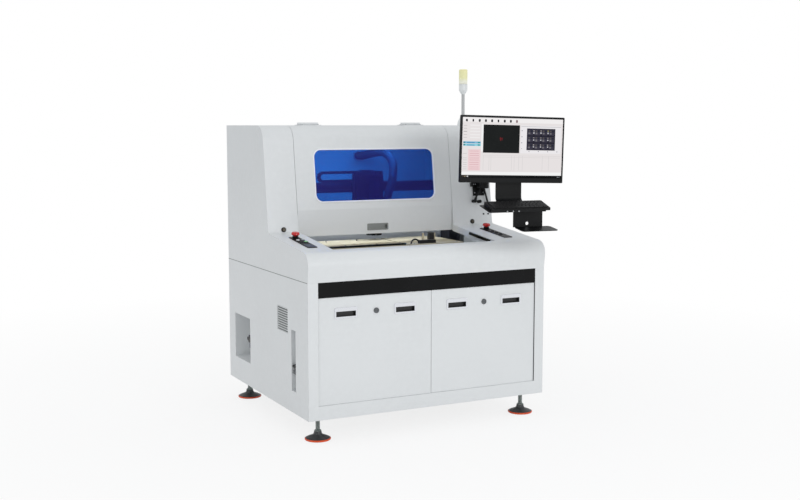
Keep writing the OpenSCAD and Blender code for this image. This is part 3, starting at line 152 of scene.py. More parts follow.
def new_piece(name, points, faces, body, slot, smooth=True):
    """A mesh object from an (n, 3) array of points and a list of faces, riding on a body if one is given."""
    mesh = bpy.data.meshes.new(name)
    mesh.from_pydata(np.asarray(points, float).reshape(-1, 3).tolist(), [], [list(map(int, f)) for f in faces])
    mesh.polygons.foreach_set("use_smooth", np.full(len(mesh.polygons), smooth))
    mesh.update()
    piece = bpy.data.objects.new(name, mesh)
    bpy.context.scene.collection.objects.link(piece)
    if body:
        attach(piece, body)
    return piece


def grid_faces(rows, columns, close_columns=False, first=0):
    """Quads between the rows of a (rows, columns) grid of points, numbered from first."""
    i = np.arange(rows - 1)[:, None]
    j = np.arange(columns if close_columns else columns - 1)[None, :]
    k = (j + 1) % columns
    corners = np.stack([i * columns + j, i * columns + k, (i + 1) * columns + k, (i + 1) * columns + j], -1)
    return (corners.reshape(-1, 4) + first).tolist()


def turned(profile, sides, place):
    """A turned part. Point (r, h) of the profile sweeps the circle (r cos t, r sin t, h), and place moves it.
    The ends of the profile are closed with flat rings, so r may start and end above zero."""
    profile = np.asarray(profile, float)
    t = np.linspace(0, 2 * np.pi, sides, endpoint=False)
    rings = np.stack([profile[:, 0, None] * np.cos(t), profile[:, 0, None] * np.sin(t),
                      np.repeat(profile[:, 1, None], sides, 1)], -1)
    faces = grid_faces(len(profile), sides, True)
    faces.append(list(range(sides))[::-1])
    faces.append([(len(profile) - 1) * sides + k for k in range(sides)])
    return place(rings).reshape(-1, 3), faces


def path_frames(path):
    """Two unit normals at every point of a path: each is the last one with its part along the path
    removed."""
    path = np.asarray(path, float)
    along = np.gradient(path, axis=0)
    along /= np.linalg.norm(along, axis=1, keepdims=True)
    side = np.cross(along[0], [0.13, 0.31, 0.94])
    sides = []
    for direction in along:
        side = side - direction * (side @ direction)
        side = side / np.linalg.norm(side)
        sides.append(side)
    sides = np.array(sides)
    return sides, np.cross(along, sides)


def tube(path, radius, sides):
    """A tube: circles of radius(i) round a path, p + r (n cos t + b sin t), with closed ends."""
    n, b = path_frames(path)
    t = np.linspace(0, 2 * np.pi, sides, endpoint=False)
    radius = np.broadcast_to(radius, (len(path),))
    rings = (np.asarray(path)[:, None] + radius[:, None, None]
             * (n[:, None] * np.cos(t)[None, :, None] + b[:, None] * np.sin(t)[None, :, None]))
    faces = grid_faces(len(path), sides, True)
    faces.append(list(range(sides))[::-1])
    faces.append([(len(path) - 1) * sides + k for k in range(sides)])
    return rings.reshape(-1, 3), faces


def smooth_path(knots, count):
    """A Catmull-Rom curve through the knots: each span is a cubic of its four nearest knots."""
    k = np.asarray(knots, float)
    k = np.vstack([2 * k[0] - k[1], k, 2 * k[-1] - k[-2]])
    t = np.linspace(0, len(k) - 3 - 1e-9, count)
    i, f = t.astype(int), (t % 1)[:, None]
    a, b, c, d = k[i], k[i + 1], k[i + 2], k[i + 3]
    return 0.5 * (2 * b + (c - a) * f + (2 * a - 5 * b + 4 * c - d) * f**2 + (3 * b - a - 3 * c + d) * f**3)


def bevelled_block(low, high, edge):
    """Eight corners pulled in by edge in three ways: 24 points, 6 faces, 12 edge strips and 8 corner
    triangles."""
    low, high = np.asarray(low, float), np.asarray(high, float)
    points, index = [], {}
    for sx in (0, 1):
        for sy in (0, 1):
            for sz in (0, 1):
                s = np.array([sx, sy, sz])
                corner = np.where(s, high, low)
                inward = np.where(s, -edge, edge)
                for axis in range(3):
                    p = corner + inward
                    p[axis] = corner[axis]
                    index[sx, sy, sz, axis] = len(points)
                    points.append(p)
    faces = []
    for axis in range(3):
        u, v = (axis + 1) % 3, (axis + 2) % 3
        for end in (0, 1):
            loop = []
            for cu, cv in ((0, 0), (1, 0), (1, 1), (0, 1)):
                s = [0, 0, 0]
                s[axis], s[u], s[v] = end, cu, cv
                loop.append(index[(*s, axis)])
            faces.append(loop if end else loop[::-1])
        for cu, cv in ((0, 0), (1, 0), (1, 1), (0, 1)):
            a, b = [0, 0, 0], [0, 0, 0]
            a[axis], a[u], a[v] = 0, cu, cv
            b[axis], b[u], b[v] = 1, cu, cv
            quad = [index[(*a, u)], index[(*b, u)], index[(*b, v)], index[(*a, v)]]
            faces.append(quad if (cu == cv) else quad[::-1])
    for sx in (0, 1):
        for sy in (0, 1):
            for sz in (0, 1):
                corner = [index[sx, sy, sz, axis] for axis in range(3)]
                faces.append(corner if (sx + sy + sz) % 2 else corner[::-1])
    return np.array(points), faces


def gather(parts):
    """Several (points, faces) pairs as one pair."""
    points, faces, first = [], [], 0
    for p, f in parts:
        points.append(np.asarray(p, float).reshape(-1, 3))
        faces += [[k + first for k in face] for face in f]
        first += len(points[-1])
    return np.vstack(points), faces


def block_piece(name, low, high, edge, place, body, slot, material):
    """One bevelled block as a piece of its own, moved by place."""
    points, faces = bevelled_block(low, high, edge)
    piece = new_piece(name, place(points), faces, body, slot, smooth=False)
    piece.data.materials.append(material)
    return piece


def rounded_outline(x0, z0, x1, z1, radius, steps):
    """The outline of a rectangle with round corners: four arcs joined by their chords."""
    centres = [(x1 - radius, z0 + radius, -90), (x1 - radius, z1 - radius, 0),
               (x0 + radius, z1 - radius, 90), (x0 + radius, z0 + radius, 180)]
    points = []
    for cx, cz, start in centres:
        a = np.radians(np.linspace(start, start + 90, steps))
        points.append(np.stack([cx + radius * np.cos(a), cz + radius * np.sin(a)], -1))
    return np.vstack(points)


print("mesh helpers ready")

# %% [markdown]
# ## Finishes
# A finish is a small graph of nodes. Most of them share a plan: a slow noise shifts the colour a little, a
# second noise varies the gloss, and a fine one gives the surface its grain through a bump. The noise reads the
# piece's own coordinates in metres, so one number says how many specks lie in a metre.

# %% A builder for node graphs


def srgb(*colour):
    """A display colour as the linear colour that a shader takes, with full opacity."""
    return tuple((v / 12.92 if v <= 0.04045 else ((v + 0.055) / 1.055) ** 2.4) for v in colour) + (1.0,)


class Finish:
    """A material and short ways to add nodes to it."""

    def __init__(self, name):
        self.material = bpy.data.materials.new(name)
        self.material.use_nodes = True
        self.tree = self.material.node_tree
        self.tree.nodes.clear()
        self.out = self.add("ShaderNodeOutputMaterial")
        self.place = self.add("ShaderNodeTexCoord").outputs["Object"]

    def add(self, kind, **values):
        node = self.tree.nodes.new(kind)
        for key, value in values.items():
            setattr(node, key, value)
        return node

    def link(self, source, target):
        self.tree.links.new(source, target)

    def stretched(self, scale):
        """The piece's coordinates, multiplied by a scale for each direction."""
        node = self.add("ShaderNodeMapping")
        node.inputs["Scale"].default_value = scale
        self.link(self.place, node.inputs["Vector"])
        return node.outputs["Vector"]

    def noise(self, scale, detail=3.0, vector=None, rough=0.5):
        node = self.add("ShaderNodeTexNoise")
        node.inputs["Scale"].default_value = scale
        node.inputs["Detail"].default_value = detail
        node.inputs["Roughness"].default_value = rough
        self.link(vector if vector is not None else self.place, node.inputs["Vector"])
        return node.outputs["Fac"]

    def ramp(self, source, stops, constant=False):
        """A colour or grey ramp through (position, value) stops."""
        node = self.add("ShaderNodeValToRGB")
        if constant:
            node.color_ramp.interpolation = "CONSTANT"
        points = node.color_ramp.elements
        while len(points) < len(stops):
            points.new(0.5)
        for point, (position, value) in zip(points, stops):
            point.position = position
            point.color = value if hasattr(value, "__len__") else (value, value, value, 1.0)
        self.link(source, node.inputs["Fac"])
        return node.outputs["Color"]

    def axis(self, name):
        """One coordinate of the piece."""
        node = self.add("ShaderNodeSeparateXYZ")
        self.link(self.place, node.inputs["Vector"])
        return node.outputs[name]

    def maths(self, operation, first, second=None, third=None):
        node = self.add("ShaderNodeMath", operation=operation)
        for socket, value in zip(node.inputs, (first, second, third)):
            if value is None:
                continue
            if isinstance(value, (int, float)):
                socket.default_value = float(value)
            else:
                self.link(value, socket)
        return node.outputs[0]

    def mix(self, fac, first, second):
        """Two colours mixed by a factor."""
        node = self.add("ShaderNodeMix", data_type="RGBA")
        for socket, value in ((node.inputs[0], fac), (node.inputs[6], first), (node.inputs[7], second)):
            if isinstance(value, (int, float)) or isinstance(value, tuple):
                socket.default_value = value
            else:
                self.link(value, socket)
        return node.outputs[2]

    def bump(self, height, distance, strength=1.0, normal=None):
        node = self.add("ShaderNodeBump")
        node.inputs["Distance"].default_value = distance
        node.inputs["Strength"].default_value = strength
        self.link(height, node.inputs["Height"])
        if normal is not None:
            self.link(normal, node.inputs["Normal"])
        return node.outputs["Normal"]

    def surface(self, colour, rough, metallic=0.0, normal=None, **sockets):
        """A Principled shader. A plain value goes on its socket, and a node's output is linked."""
        shader = self.add("ShaderNodeBsdfPrincipled")
        for socket, value in (("Base Color", colour), ("Roughness", rough), ("Metallic", metallic)):
            if isinstance(value, (int, float, tuple)):
                shader.inputs[socket].default_value = value
            else:
                self.link(value, shader.inputs[socket])
        for socket, value in sockets.items():
            shader.inputs[socket.replace("_", " ")].default_value = value
        if normal is not None:
            self.link(normal, shader.inputs["Normal"])
        return shader.outputs["BSDF"]

    def finish(self, shader):
        self.link(shader, self.out.inputs["Surface"])
        return self.material


def coated(name, colour, rough, spread=0.04, patch=6.0, grain=700.0, depth=0.00004, metallic=0.0, **sockets):
    """Paint or plastic: the colour drifts by spread over patches, the gloss drifts with it, and a fine
    grain lifts the surface."""
    f = Finish(name)
    drift = f.noise(patch, 4.0)
    light = tuple(min(1.0, c * (1 + spread)) for c in colour[:3]) + (1.0,)
    dark = tuple(c * (1 - spread) for c in colour[:3]) + (1.0,)
    shade = f.ramp(drift, [(0.3, dark), (0.7, light)])
    gloss = f.ramp(f.noise(patch * 5, 5.0), [(0.3, rough * 0.88), (0.7, min(1.0, rough * 1.12))])
    normal = f.bump(f.noise(grain, 2.0), depth)
    return f.finish(f.surface(shade, gloss, metallic, normal, **sockets))


print("finish builder ready")

# %% [markdown]
# ## Painted sheet metal
# The housing is powder coated in a cool off-white. Powder coat is never quite flat: it has a fine orange-peel
# texture and a soft gloss. A bevel of light along each folded edge comes from the Bevel node, which rounds the
# shading of a sharp corner as a real fold does.

# %% Housing, frame and gantry paint


def powder_coat(name, colour, rough, fold=0.0015, shine=0.5):
    f = Finish(name)
    drift = f.noise(2.2, 3.0)
    light = tuple(min(1.0, c * 1.012) for c in colour[:3]) + (1.0,)
    dark = tuple(c * 0.978 for c in colour[:3]) + (1.0,)
    dust = f.ramp(f.noise(38.0, 6.0), [(0.42, dark), (0.75, light)])
    shade = f.mix(f.ramp(drift, [(0.35, 0.0), (0.7, 1.0)]), dust, light)
    gloss = f.ramp(f.noise(14.0, 5.0), [(0.3, rough * 0.9), (0.75, rough * 1.12)])
    rounded = f.add("ShaderNodeBevel", samples=4)
    rounded.inputs["Radius"].default_value = fold
    peel = f.bump(f.noise(520.0, 2.0), 0.00005, 0.6, rounded.outputs["Normal"])
    return f.finish(f.surface(shade, gloss, 0.0, peel, Specular_IOR_Level=shine))


housing_paint = powder_coat("cool_white_powder_coat", (0.745, 0.762, 0.768, 1.0), 0.38)
frame_paint = powder_coat("grey_frame_paint", srgb(0.36, 0.37, 0.39), 0.45)
gantry_paint = powder_coat("dark_gantry_paint", srgb(0.16, 0.16, 0.19), 0.42, 0.0015, 0.3)
arm_paint = powder_coat("black_arm_paint", srgb(0.06, 0.065, 0.07), 0.42, 0.001, 0.2)
print("paints", len(bpy.data.materials))

# %% [markdown]
# ## Plastics, rubber and laminate
# Moulded parts share the coated builder with different colours and grains. The board fixtures are cut from a
# beige laminate, whose faint fibres run one way: a noise stretched along one axis draws them.

# %% Moulded and laminated finishes
black_plastic = coated("satin_black_plastic", srgb(0.07, 0.075, 0.08), 0.42, 0.12, 20.0, 1500.0, 0.00003,
                       Specular_IOR_Level=0.16)
key_plastic = coated("key_black_plastic", srgb(0.085, 0.085, 0.09), 0.50, 0.10, 40.0, 2200.0, 0.00003,
                     Specular_IOR_Level=0.25)
chain_plastic = coated("chain_link_nylon", srgb(0.06, 0.06, 0.065), 0.55, 0.10, 60.0, 900.0, 0.00005)
tower_plastic = coated("white_tower_plastic", srgb(0.93, 0.93, 0.92), 0.35, 0.02, 30.0, 1200.0, 0.00002)
hose_rubber = coated("grey_hose_rubber", srgb(0.33, 0.34, 0.37), 0.48, 0.10, 30.0, 900.0, 0.00006)
stop_plastic = coated("emergency_red_plastic", srgb(0.78, 0.07, 0.07), 0.24, 0.06, 60.0, 2500.0, 0.00001,
                      Coat_Weight=0.4, Coat_Roughness=0.1)
cap_white = coated("white_button_cap", srgb(0.93, 0.94, 0.95), 0.28, 0.03, 90.0, 2500.0, 0.00001)
cap_grey = coated("grey_button_cap", srgb(0.55, 0.57, 0.59), 0.32, 0.04, 90.0, 2500.0, 0.00001)
cap_green = coated("green_button_cap", srgb(0.58, 0.84, 0.60), 0.28, 0.04, 90.0, 2500.0, 0.00001)
bristle = coated("black_bristle", srgb(0.05, 0.05, 0.055), 0.62, 0.25, 400.0, 3000.0, 0.00003)
rim_rubber = coated("white_window_seal", srgb(0.97, 0.97, 0.99), 0.35, 0.01, 30.0, 1500.0, 0.00002)


def gloss_strip():
    """A polished black panel with faint wipe marks in its gloss."""
    f = Finish("polished_black_panel")
    wipe = f.noise(6.0, 6.0, f.stretched((0.6, 4.0, 5.0)))
    gloss = f.ramp(wipe, [(0.35, 0.07), (0.8, 0.16)])
    shade = f.ramp(f.noise(9.0, 3.0), [(0.3, srgb(0.035, 0.038, 0.042)), (0.7, srgb(0.06, 0.064, 0.07))])
    return f.finish(f.surface(shade, gloss, 0.0, None, Specular_IOR_Level=0.14))


def laminate():
    """Beige laminate sheet: fibres along x and y, and dark fittings above its face."""
    f = Finish("beige_laminate")
    fibres = f.noise(1.0, 8.0, f.stretched((40.0, 900.0, 40.0)), 0.7)
    cross = f.noise(1.0, 8.0, f.stretched((900.0, 40.0, 40.0)), 0.7)
    weave = f.maths("MULTIPLY", fibres, cross)
    face = f.ramp(weave, [(0.16, srgb(0.735, 0.69, 0.585)), (0.36, srgb(0.80, 0.765, 0.665))])
    blotch = f.ramp(f.noise(7.0, 4.0), [(0.3, srgb(0.74, 0.70, 0.60)), (0.7, srgb(0.81, 0.775, 0.675))])
    board = f.mix(0.5, face, blotch)
    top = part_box("left_table")[1].z + 0.0101
    above = f.maths("GREATER_THAN", f.axis("Z"), float(top))
    spacer_left = float(machine((0.1895, 0, 0))[0])
    spacer_right = float(machine((0.2535, 0, 0))[0])
    sideways = f.axis("X")
    for edge in (spacer_left, spacer_right):
        beside = f.maths("MULTIPLY", f.maths("GREATER_THAN", sideways, edge),
                         f.maths("LESS_THAN", sideways, edge + 0.010))
        near = f.maths("GREATER_THAN", f.axis("Y"), float(machine((0, 0.445, 0))[1]))
        above = f.maths("MULTIPLY", above, f.maths("SUBTRACT", 1.0, f.maths("MULTIPLY", beside, near)))
    normal = f.bump(weave, 0.00008)
    sheet = f.surface(board, f.ramp(fibres, [(0.3, 0.45), (0.7, 0.6)]), 0.0, normal)
    fitting = f.surface(f.ramp(f.noise(300.0, 3.0), [(0.3, srgb(0.05, 0.05, 0.055)), (0.7, srgb(0.11, 0.11,
                                                                                                0.12))]), 0.38, 0.0, normal)
    join = f.add("ShaderNodeMixShader")
    f.link(above, join.inputs[0])
    f.link(sheet, join.inputs[1])
    f.link(fitting, join.inputs[2])
    return f.finish(join.outputs[0])


strip_gloss = gloss_strip()
fixture_laminate = laminate()
print("moulded finishes", len(bpy.data.materials))

# %% [markdown]
# ## Metals
# Brushed steel is a mirror scratched in one direction, so its noise is stretched a hundred times along the
# brushing. Cast iron is the opposite: a coarse, even bump. Chrome is almost smooth, and its cup is painted
# near-black deeper than three millimetres behind the door's face.

# %% Metal finishes


def brushed(name, colour, rough, scale, metallic=1.0):
    f = Finish(name)
    lines = f.noise(1.0, 6.0, f.stretched(scale), 0.65)
    shade = f.ramp(lines, [(0.3, tuple(c * 0.82 for c in colour[:3]) + (1.0,)), (0.72, colour)])
    gloss = f.ramp(lines, [(0.3, rough * 1.25), (0.75, rough * 0.8)])
    return f.finish(f.surface(shade, gloss, metallic, f.bump(lines, 0.00004)))


def chrome_cup():
    """Chrome in front of the door's face, near-black deeper than three millimetres."""
    f = Finish("chrome_flush_handle")
    door_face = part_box("left_door")[0].y
    deep = f.maths("GREATER_THAN", f.axis("Y"), float(door_face + 0.003))
    smear = f.ramp(f.noise(120.0, 4.0), [(0.3, 0.05), (0.8, 0.14)])
    metal = f.surface(srgb(0.86, 0.87, 0.89), smear, 1.0)
    pocket = f.surface(f.ramp(f.noise(200.0, 3.0), [(0.3, srgb(0.03, 0.03, 0.035)), (0.7, srgb(0.07, 0.07,
                                                                                               0.075))]), 0.35)
    join = f.add("ShaderNodeMixShader")
    f.link(deep, join.inputs[0])
    f.link(metal, join.inputs[1])
    f.link(pocket, join.inputs[2])
    return f.finish(join.outputs[0])


def cast_foot():
    """A painted cast pad with an orange-red skirt at the floor and a zinc-plated stem above it."""
    f = Finish("cast_foot_with_orange_skirt")
    height = f.axis("Z")
    casting = f.noise(420.0, 5.0)
    paint = f.ramp(casting, [(0.3, srgb(0.17, 0.175, 0.18)), (0.75, srgb(0.27, 0.28, 0.285))])
    skirt = f.ramp(f.noise(60.0, 4.0), [(0.3, srgb(0.80, 0.25, 0.10)), (0.7, srgb(0.92, 0.36, 0.16))])
    zinc = f.ramp(f.noise(150.0, 4.0), [(0.3, srgb(0.50, 0.54, 0.53)), (0.7, srgb(0.68, 0.71, 0.70))])
    lower = f.maths("LESS_THAN", height, 0.0085)
    upper = f.maths("GREATER_THAN", height, 0.0402)
    shade = f.mix(upper, f.mix(lower, paint, skirt), zinc)
    thread = f.maths("SINE", f.maths("MULTIPLY", height, 2 * np.pi / 0.0025))
    ridged = f.bump(f.maths("MULTIPLY", thread, upper), 0.0006, 0.8)
    normal = f.bump(casting, 0.0002, 0.7, ridged)
    return f.finish(f.surface(shade, f.ramp(casting, [(0.3, 0.34), (0.7, 0.5)]), upper, normal))


bright_steel = brushed("brushed_steel", srgb(0.76, 0.77, 0.78), 0.30, (30.0, 30.0, 1500.0))
ground_plate = brushed("ground_machine_bed", srgb(0.60, 0.61, 0.63), 0.42, (20.0, 900.0, 20.0))
anodised = brushed("black_anodised_aluminium", srgb(0.17, 0.17, 0.18), 0.40, (900.0, 25.0, 25.0), 0.6)
spindle_metal = brushed("dark_spindle_body", srgb(0.20, 0.20, 0.23), 0.30, (25.0, 25.0, 700.0), 0.8)
regulator_metal = coated("regulator_casting", srgb(0.09, 0.09, 0.095), 0.42, 0.15, 80.0, 700.0, 0.0001)
chrome_handle = chrome_cup()
lock_metal = brushed("lock_zinc", srgb(0.42, 0.43, 0.44), 0.24, (300.0, 300.0, 300.0))
start_metal = brushed("start_button_steel", srgb(0.34, 0.32, 0.29), 0.32, (60.0, 60.0, 900.0))
grip_metal = brushed("brushed_grip_plate", srgb(0.60, 0.61, 0.60), 0.36, (30.0, 30.0, 1500.0))
foot_finish = cast_foot()
print("metals ready", len(bpy.data.materials))

# %% [markdown]
# ## The blue window
# The pane is blue-tinted acrylic. Light that passes through it keeps mostly its blue, and the sheet itself adds a
# dull blue haze and a mirror-like skin. A transparent shader does the first, which also lets lamplight into the
# machine, and a glossy principled one does the rest.

# %% Window, lens and display


def tinted_pane():
    f = Finish("blue_tinted_acrylic")
    through = f.add("ShaderNodeBsdfTransparent")
    f.link(f.ramp(f.noise(1.8, 3.0), [(0.3, (0.11, 0.40, 0.78, 1.0)), (0.7, (0.13, 0.45, 0.84, 1.0))]),
           through.inputs["Color"])
    body = f.surface(f.ramp(f.noise(2.5, 2.0), [(0.3, srgb(0.28, 0.25, 0.60)), (0.7, srgb(0.30, 0.27, 0.63))]),
                     0.06, 0.0, None, Specular_IOR_Level=0.12)
    join = f.add("ShaderNodeMixShader")
    f.link(f.ramp(f.noise(1.3, 2.0), [(0.3, 0.27), (0.7, 0.34)]), join.inputs[0])
    f.link(through.outputs[0], join.inputs[1])
    f.link(body, join.inputs[2])
    return f.finish(join.outputs[0])


def lens_plastic():
    f = Finish("pale_yellow_lens")
    height = f.axis("Z")
    low, high = (float(c.z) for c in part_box("tower_lens"))
    rise = f.maths("DIVIDE", f.maths("SUBTRACT", height, low), high - low)
    shade = f.ramp(f.maths("ADD", rise, f.maths("MULTIPLY", f.noise(90.0, 3.0), 0.08)),
                   [(0.0, srgb(0.99, 0.98, 0.92)), (0.25, srgb(0.99, 0.985, 0.90)),
                    (0.45, srgb(0.98, 0.97, 0.76)), (1.0, srgb(0.98, 0.96, 0.74))])
    return f.finish(f.surface(shade, f.ramp(f.noise(50.0, 3.0), [(0.3, 0.3), (0.7, 0.4)]), 0.0, None,
                              Specular_IOR_Level=0.3))


def lit_display():
    """The display's own light: it shows the colour stored on each cell of the picture, under a smooth
    glass."""
    f = Finish("lit_display")
    colours = f.add("ShaderNodeAttribute", attribute_name="picture")
    shader = f.add("ShaderNodeBsdfPrincipled")
    shader.inputs["Base Color"].default_value = (0.004, 0.004, 0.004, 1.0)
    shader.inputs["Specular IOR Level"].default_value = 0.08
    f.link(f.ramp(f.noise(25.0, 3.0), [(0.3, 0.16), (0.7, 0.24)]), shader.inputs["Roughness"])
    f.link(colours.outputs["Color"], shader.inputs["Emission Color"])
    shader.inputs["Emission Strength"].default_value = 0.92
    return f.finish(shader.outputs["BSDF"])


def louvred_grille():
    """White on the outer half of the louvres and dark deeper in, where they shade each other."""
    f = Finish("louvred_grille")
    middle = float(machine((0, 0, 0))[0])
    skin = float(HALF_WIDTH) - 0.0050
    inside = f.maths("LESS_THAN", f.maths("ABSOLUTE", f.maths("SUBTRACT", f.axis("X"), middle)), skin)
    white = f.ramp(f.noise(38.0, 6.0), [(0.42, (0.729, 0.745, 0.751, 1.0)), (0.75, (0.754, 0.771, 0.777, 1.0))])
    shade = f.ramp(f.noise(60.0, 4.0), [(0.3, srgb(0.26, 0.28, 0.27)), (0.7, srgb(0.36, 0.38, 0.36))])
    return f.finish(f.surface(f.mix(inside, white, shade), f.ramp(f.noise(14.0, 5.0), [(0.3, 0.36), (0.75,
                                                                                                     0.44)]), 0.0, f.bump(f.noise(520.0, 2.0), 0.00003)))


window_acrylic = tinted_pane()
grille_finish = louvred_grille()
lens_finish = lens_plastic()
display_finish = lit_display()
print("window, lens and display ready")

# %% [markdown]
# ## Dressing the solids
# Each solid keeps its shape and only changes its finish. The table below is the maker's parts list with the
# finish of every part.

# %% Assign finishes to the solids
dressing = {
    housing_paint: ["cabinet_panels", "front_fascia", "side_recesses", "upper_shell", "rear_hatch",
                    "cover_shell", "left_door", "right_door", "hinge_brackets"],
    grille_finish: ["vent_grilles"],
    frame_paint: ["base_frame"],
    strip_gloss: ["trim_strip", "light_curtains"],
    ground_plate: ["machine_bed"],
    gantry_paint: ["gantry_frame", "x_carriage"],
    arm_paint: ["arm_bracket", "arm_link_1", "arm_link_2", "monitor_neck", "keyboard_tray", "mouse_shelf"],
    black_plastic: ["control_plates", "monitor_case", "monitor_screen", "regulator_knob", "left_button_3",
                    "right_button_1", "right_button_2", "right_button_3"],
    key_plastic: ["keyboard"],
    chain_plastic: ["cable_chain"],
    hose_rubber: ["dust_hose"],
    regulator_metal: ["air_regulator"],
    window_acrylic: ["cover_window"],
    bright_steel: ["cutter"],
    grip_metal: ["cover_grip"],
    start_metal: ["left_start_button", "right_start_button"],
    spindle_metal: ["spindle_head"],
    bristle: ["dust_brush"],
    anodised: ["left_table", "right_table"],
    fixture_laminate: ["left_fixture", "right_fixture"],
    chrome_handle: ["left_handles", "right_handles"],
    lock_metal: ["left_lock", "right_lock"],
    stop_plastic: ["left_estop", "right_estop"],
    cap_white: ["left_button_1"],
    cap_grey: ["left_button_2"],
    cap_green: ["left_button_4"],
    foot_finish: ["foot_front_left", "foot_front_right", "foot_rear_left", "foot_rear_right"],
    lens_finish: ["tower_lens"],
    tower_plastic: ["signal_tower"],
}
for material, names in dressing.items():
    for name in names:
        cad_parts[name].data.materials.clear()
        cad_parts[name].data.materials.append(material)
undressed = set(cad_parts) - {name for names in dressing.values() for name in names}
print("dressed", len(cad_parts) - len(undressed), "left plain", sorted(undressed))

# %% [markdown]
# ## The signal tower's pole
# The pole of the signal tower is grey between its white foot and its white head, so its finish chooses between
# two colours by height.

# %% Two-tone tower


def two_tone_tower():
    f = Finish("tower_white_and_grey")
    height = f.axis("Z")
    roof = float(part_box("signal_tower")[0].z)
    head = float(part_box("signal_tower")[1].z) - 0.054
    pole = f.maths("MULTIPLY", f.maths("GREATER_THAN", height, roof + 0.050),
                   f.maths("LESS_THAN", height, head))
    white = f.ramp(f.noise(30.0, 4.0), [(0.3, srgb(0.90, 0.91, 0.91)), (0.7, srgb(0.94, 0.95, 0.95))])
    grey = f.ramp(f.noise(1.0, 5.0, f.stretched((300.0, 300.0, 12.0))),
                  [(0.3, srgb(0.70, 0.71, 0.71)), (0.7, srgb(0.79, 0.79, 0.79))])
    gloss = f.ramp(f.noise(80.0, 3.0), [(0.3, 0.28), (0.7, 0.38)])
    return f.finish(f.surface(f.mix(pole, white, grey), gloss, 0.0, f.bump(f.noise(1100.0, 2.0), 0.00002)))


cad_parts["signal_tower"].data.materials.clear()
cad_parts["signal_tower"].data.materials.append(two_tone_tower())
print("tower pole split from its head")

# %% [markdown]
# ## The tower's ribbed lens
# A signal lens has fine vertical ribs that spread the lamp's light. Its radius swings with the angle,
# r = R (1 + a cos n t), and fades to a smooth dome at the top.

# %% Ribbed lens
lens_low, lens_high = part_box("tower_lens")
lens_radius = float(lens_high.x - lens_low.x) / 2
lens_height = float(lens_high.z - lens_low.z)


def ribbed_lens(ribs=36, depth=0.012):
    """Rows go up the wall and over the dome; the ribs' depth fades over the dome."""
    wall = np.linspace(0.0, lens_height - 0.006, 18)
    bend = np.linspace(0, np.pi / 2, 7)[1:]
    radius = np.concatenate([np.full(18, lens_radius), lens_radius - 0.006 * (1 - np.cos(bend)),
                             [lens_radius * 0.5, 0.0004]])
    height = np.concatenate([wall, lens_height - 0.006 + 0.006 * np.sin(bend), [lens_height, lens_height]])
    fade = np.concatenate([[0.0], np.ones(17), np.linspace(1, 0, 6), [0.0, 0.0]])
    t = np.linspace(0, 2 * np.pi, ribs * 6, endpoint=False)
    r = radius[:, None] * (1 - depth * fade[:, None] * (1 - np.cos(ribs * t)) / 2)
    middle = (np.array(lens_low) + np.array(lens_high)) / 2
    rings = np.stack([middle[0] + r * np.cos(t), middle[1] + r * np.sin(t),
                      lens_low.z + np.repeat(height[:, None], len(t), 1)], -1)
    faces = grid_faces(len(radius), len(t), True)
    faces.append(list(range(len(t)))[::-1])
    faces.append([(len(radius) - 1) * len(t) + k for k in range(len(t))])
    return rings.reshape(-1, 3), faces


lens = new_piece("ribbed_tower_lens", *ribbed_lens(), "machine", "lens_yellow")
lens.data.materials.append(lens_finish)
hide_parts("tower_lens")
print("lens", len(lens.data.polygons), "faces")

# %% [markdown]
# ## The display's picture
# The display shows a plain control program: a toolbar of round marks, a settings column, a black camera view with
# a small red mark, a drawing of the board panel and a pale table. It is drawn without letters, as blocks of
# colour on a fine grid, one colour for each cell.

# %% Paint the picture cell by cell
CELLS_X, CELLS_Z = 264, 148
SCREEN = (-0.262, -0.135, 0.262, 0.1475)


def fill(picture, x0, z0, x1, z1, colour):
    """A block of one colour, in fractions of the display from its lower left corner."""
    picture[int(round(z0 * CELLS_Z)):int(round(z1 * CELLS_Z)),
            int(round(x0 * CELLS_X)):int(round(x1 * CELLS_X))] = colour


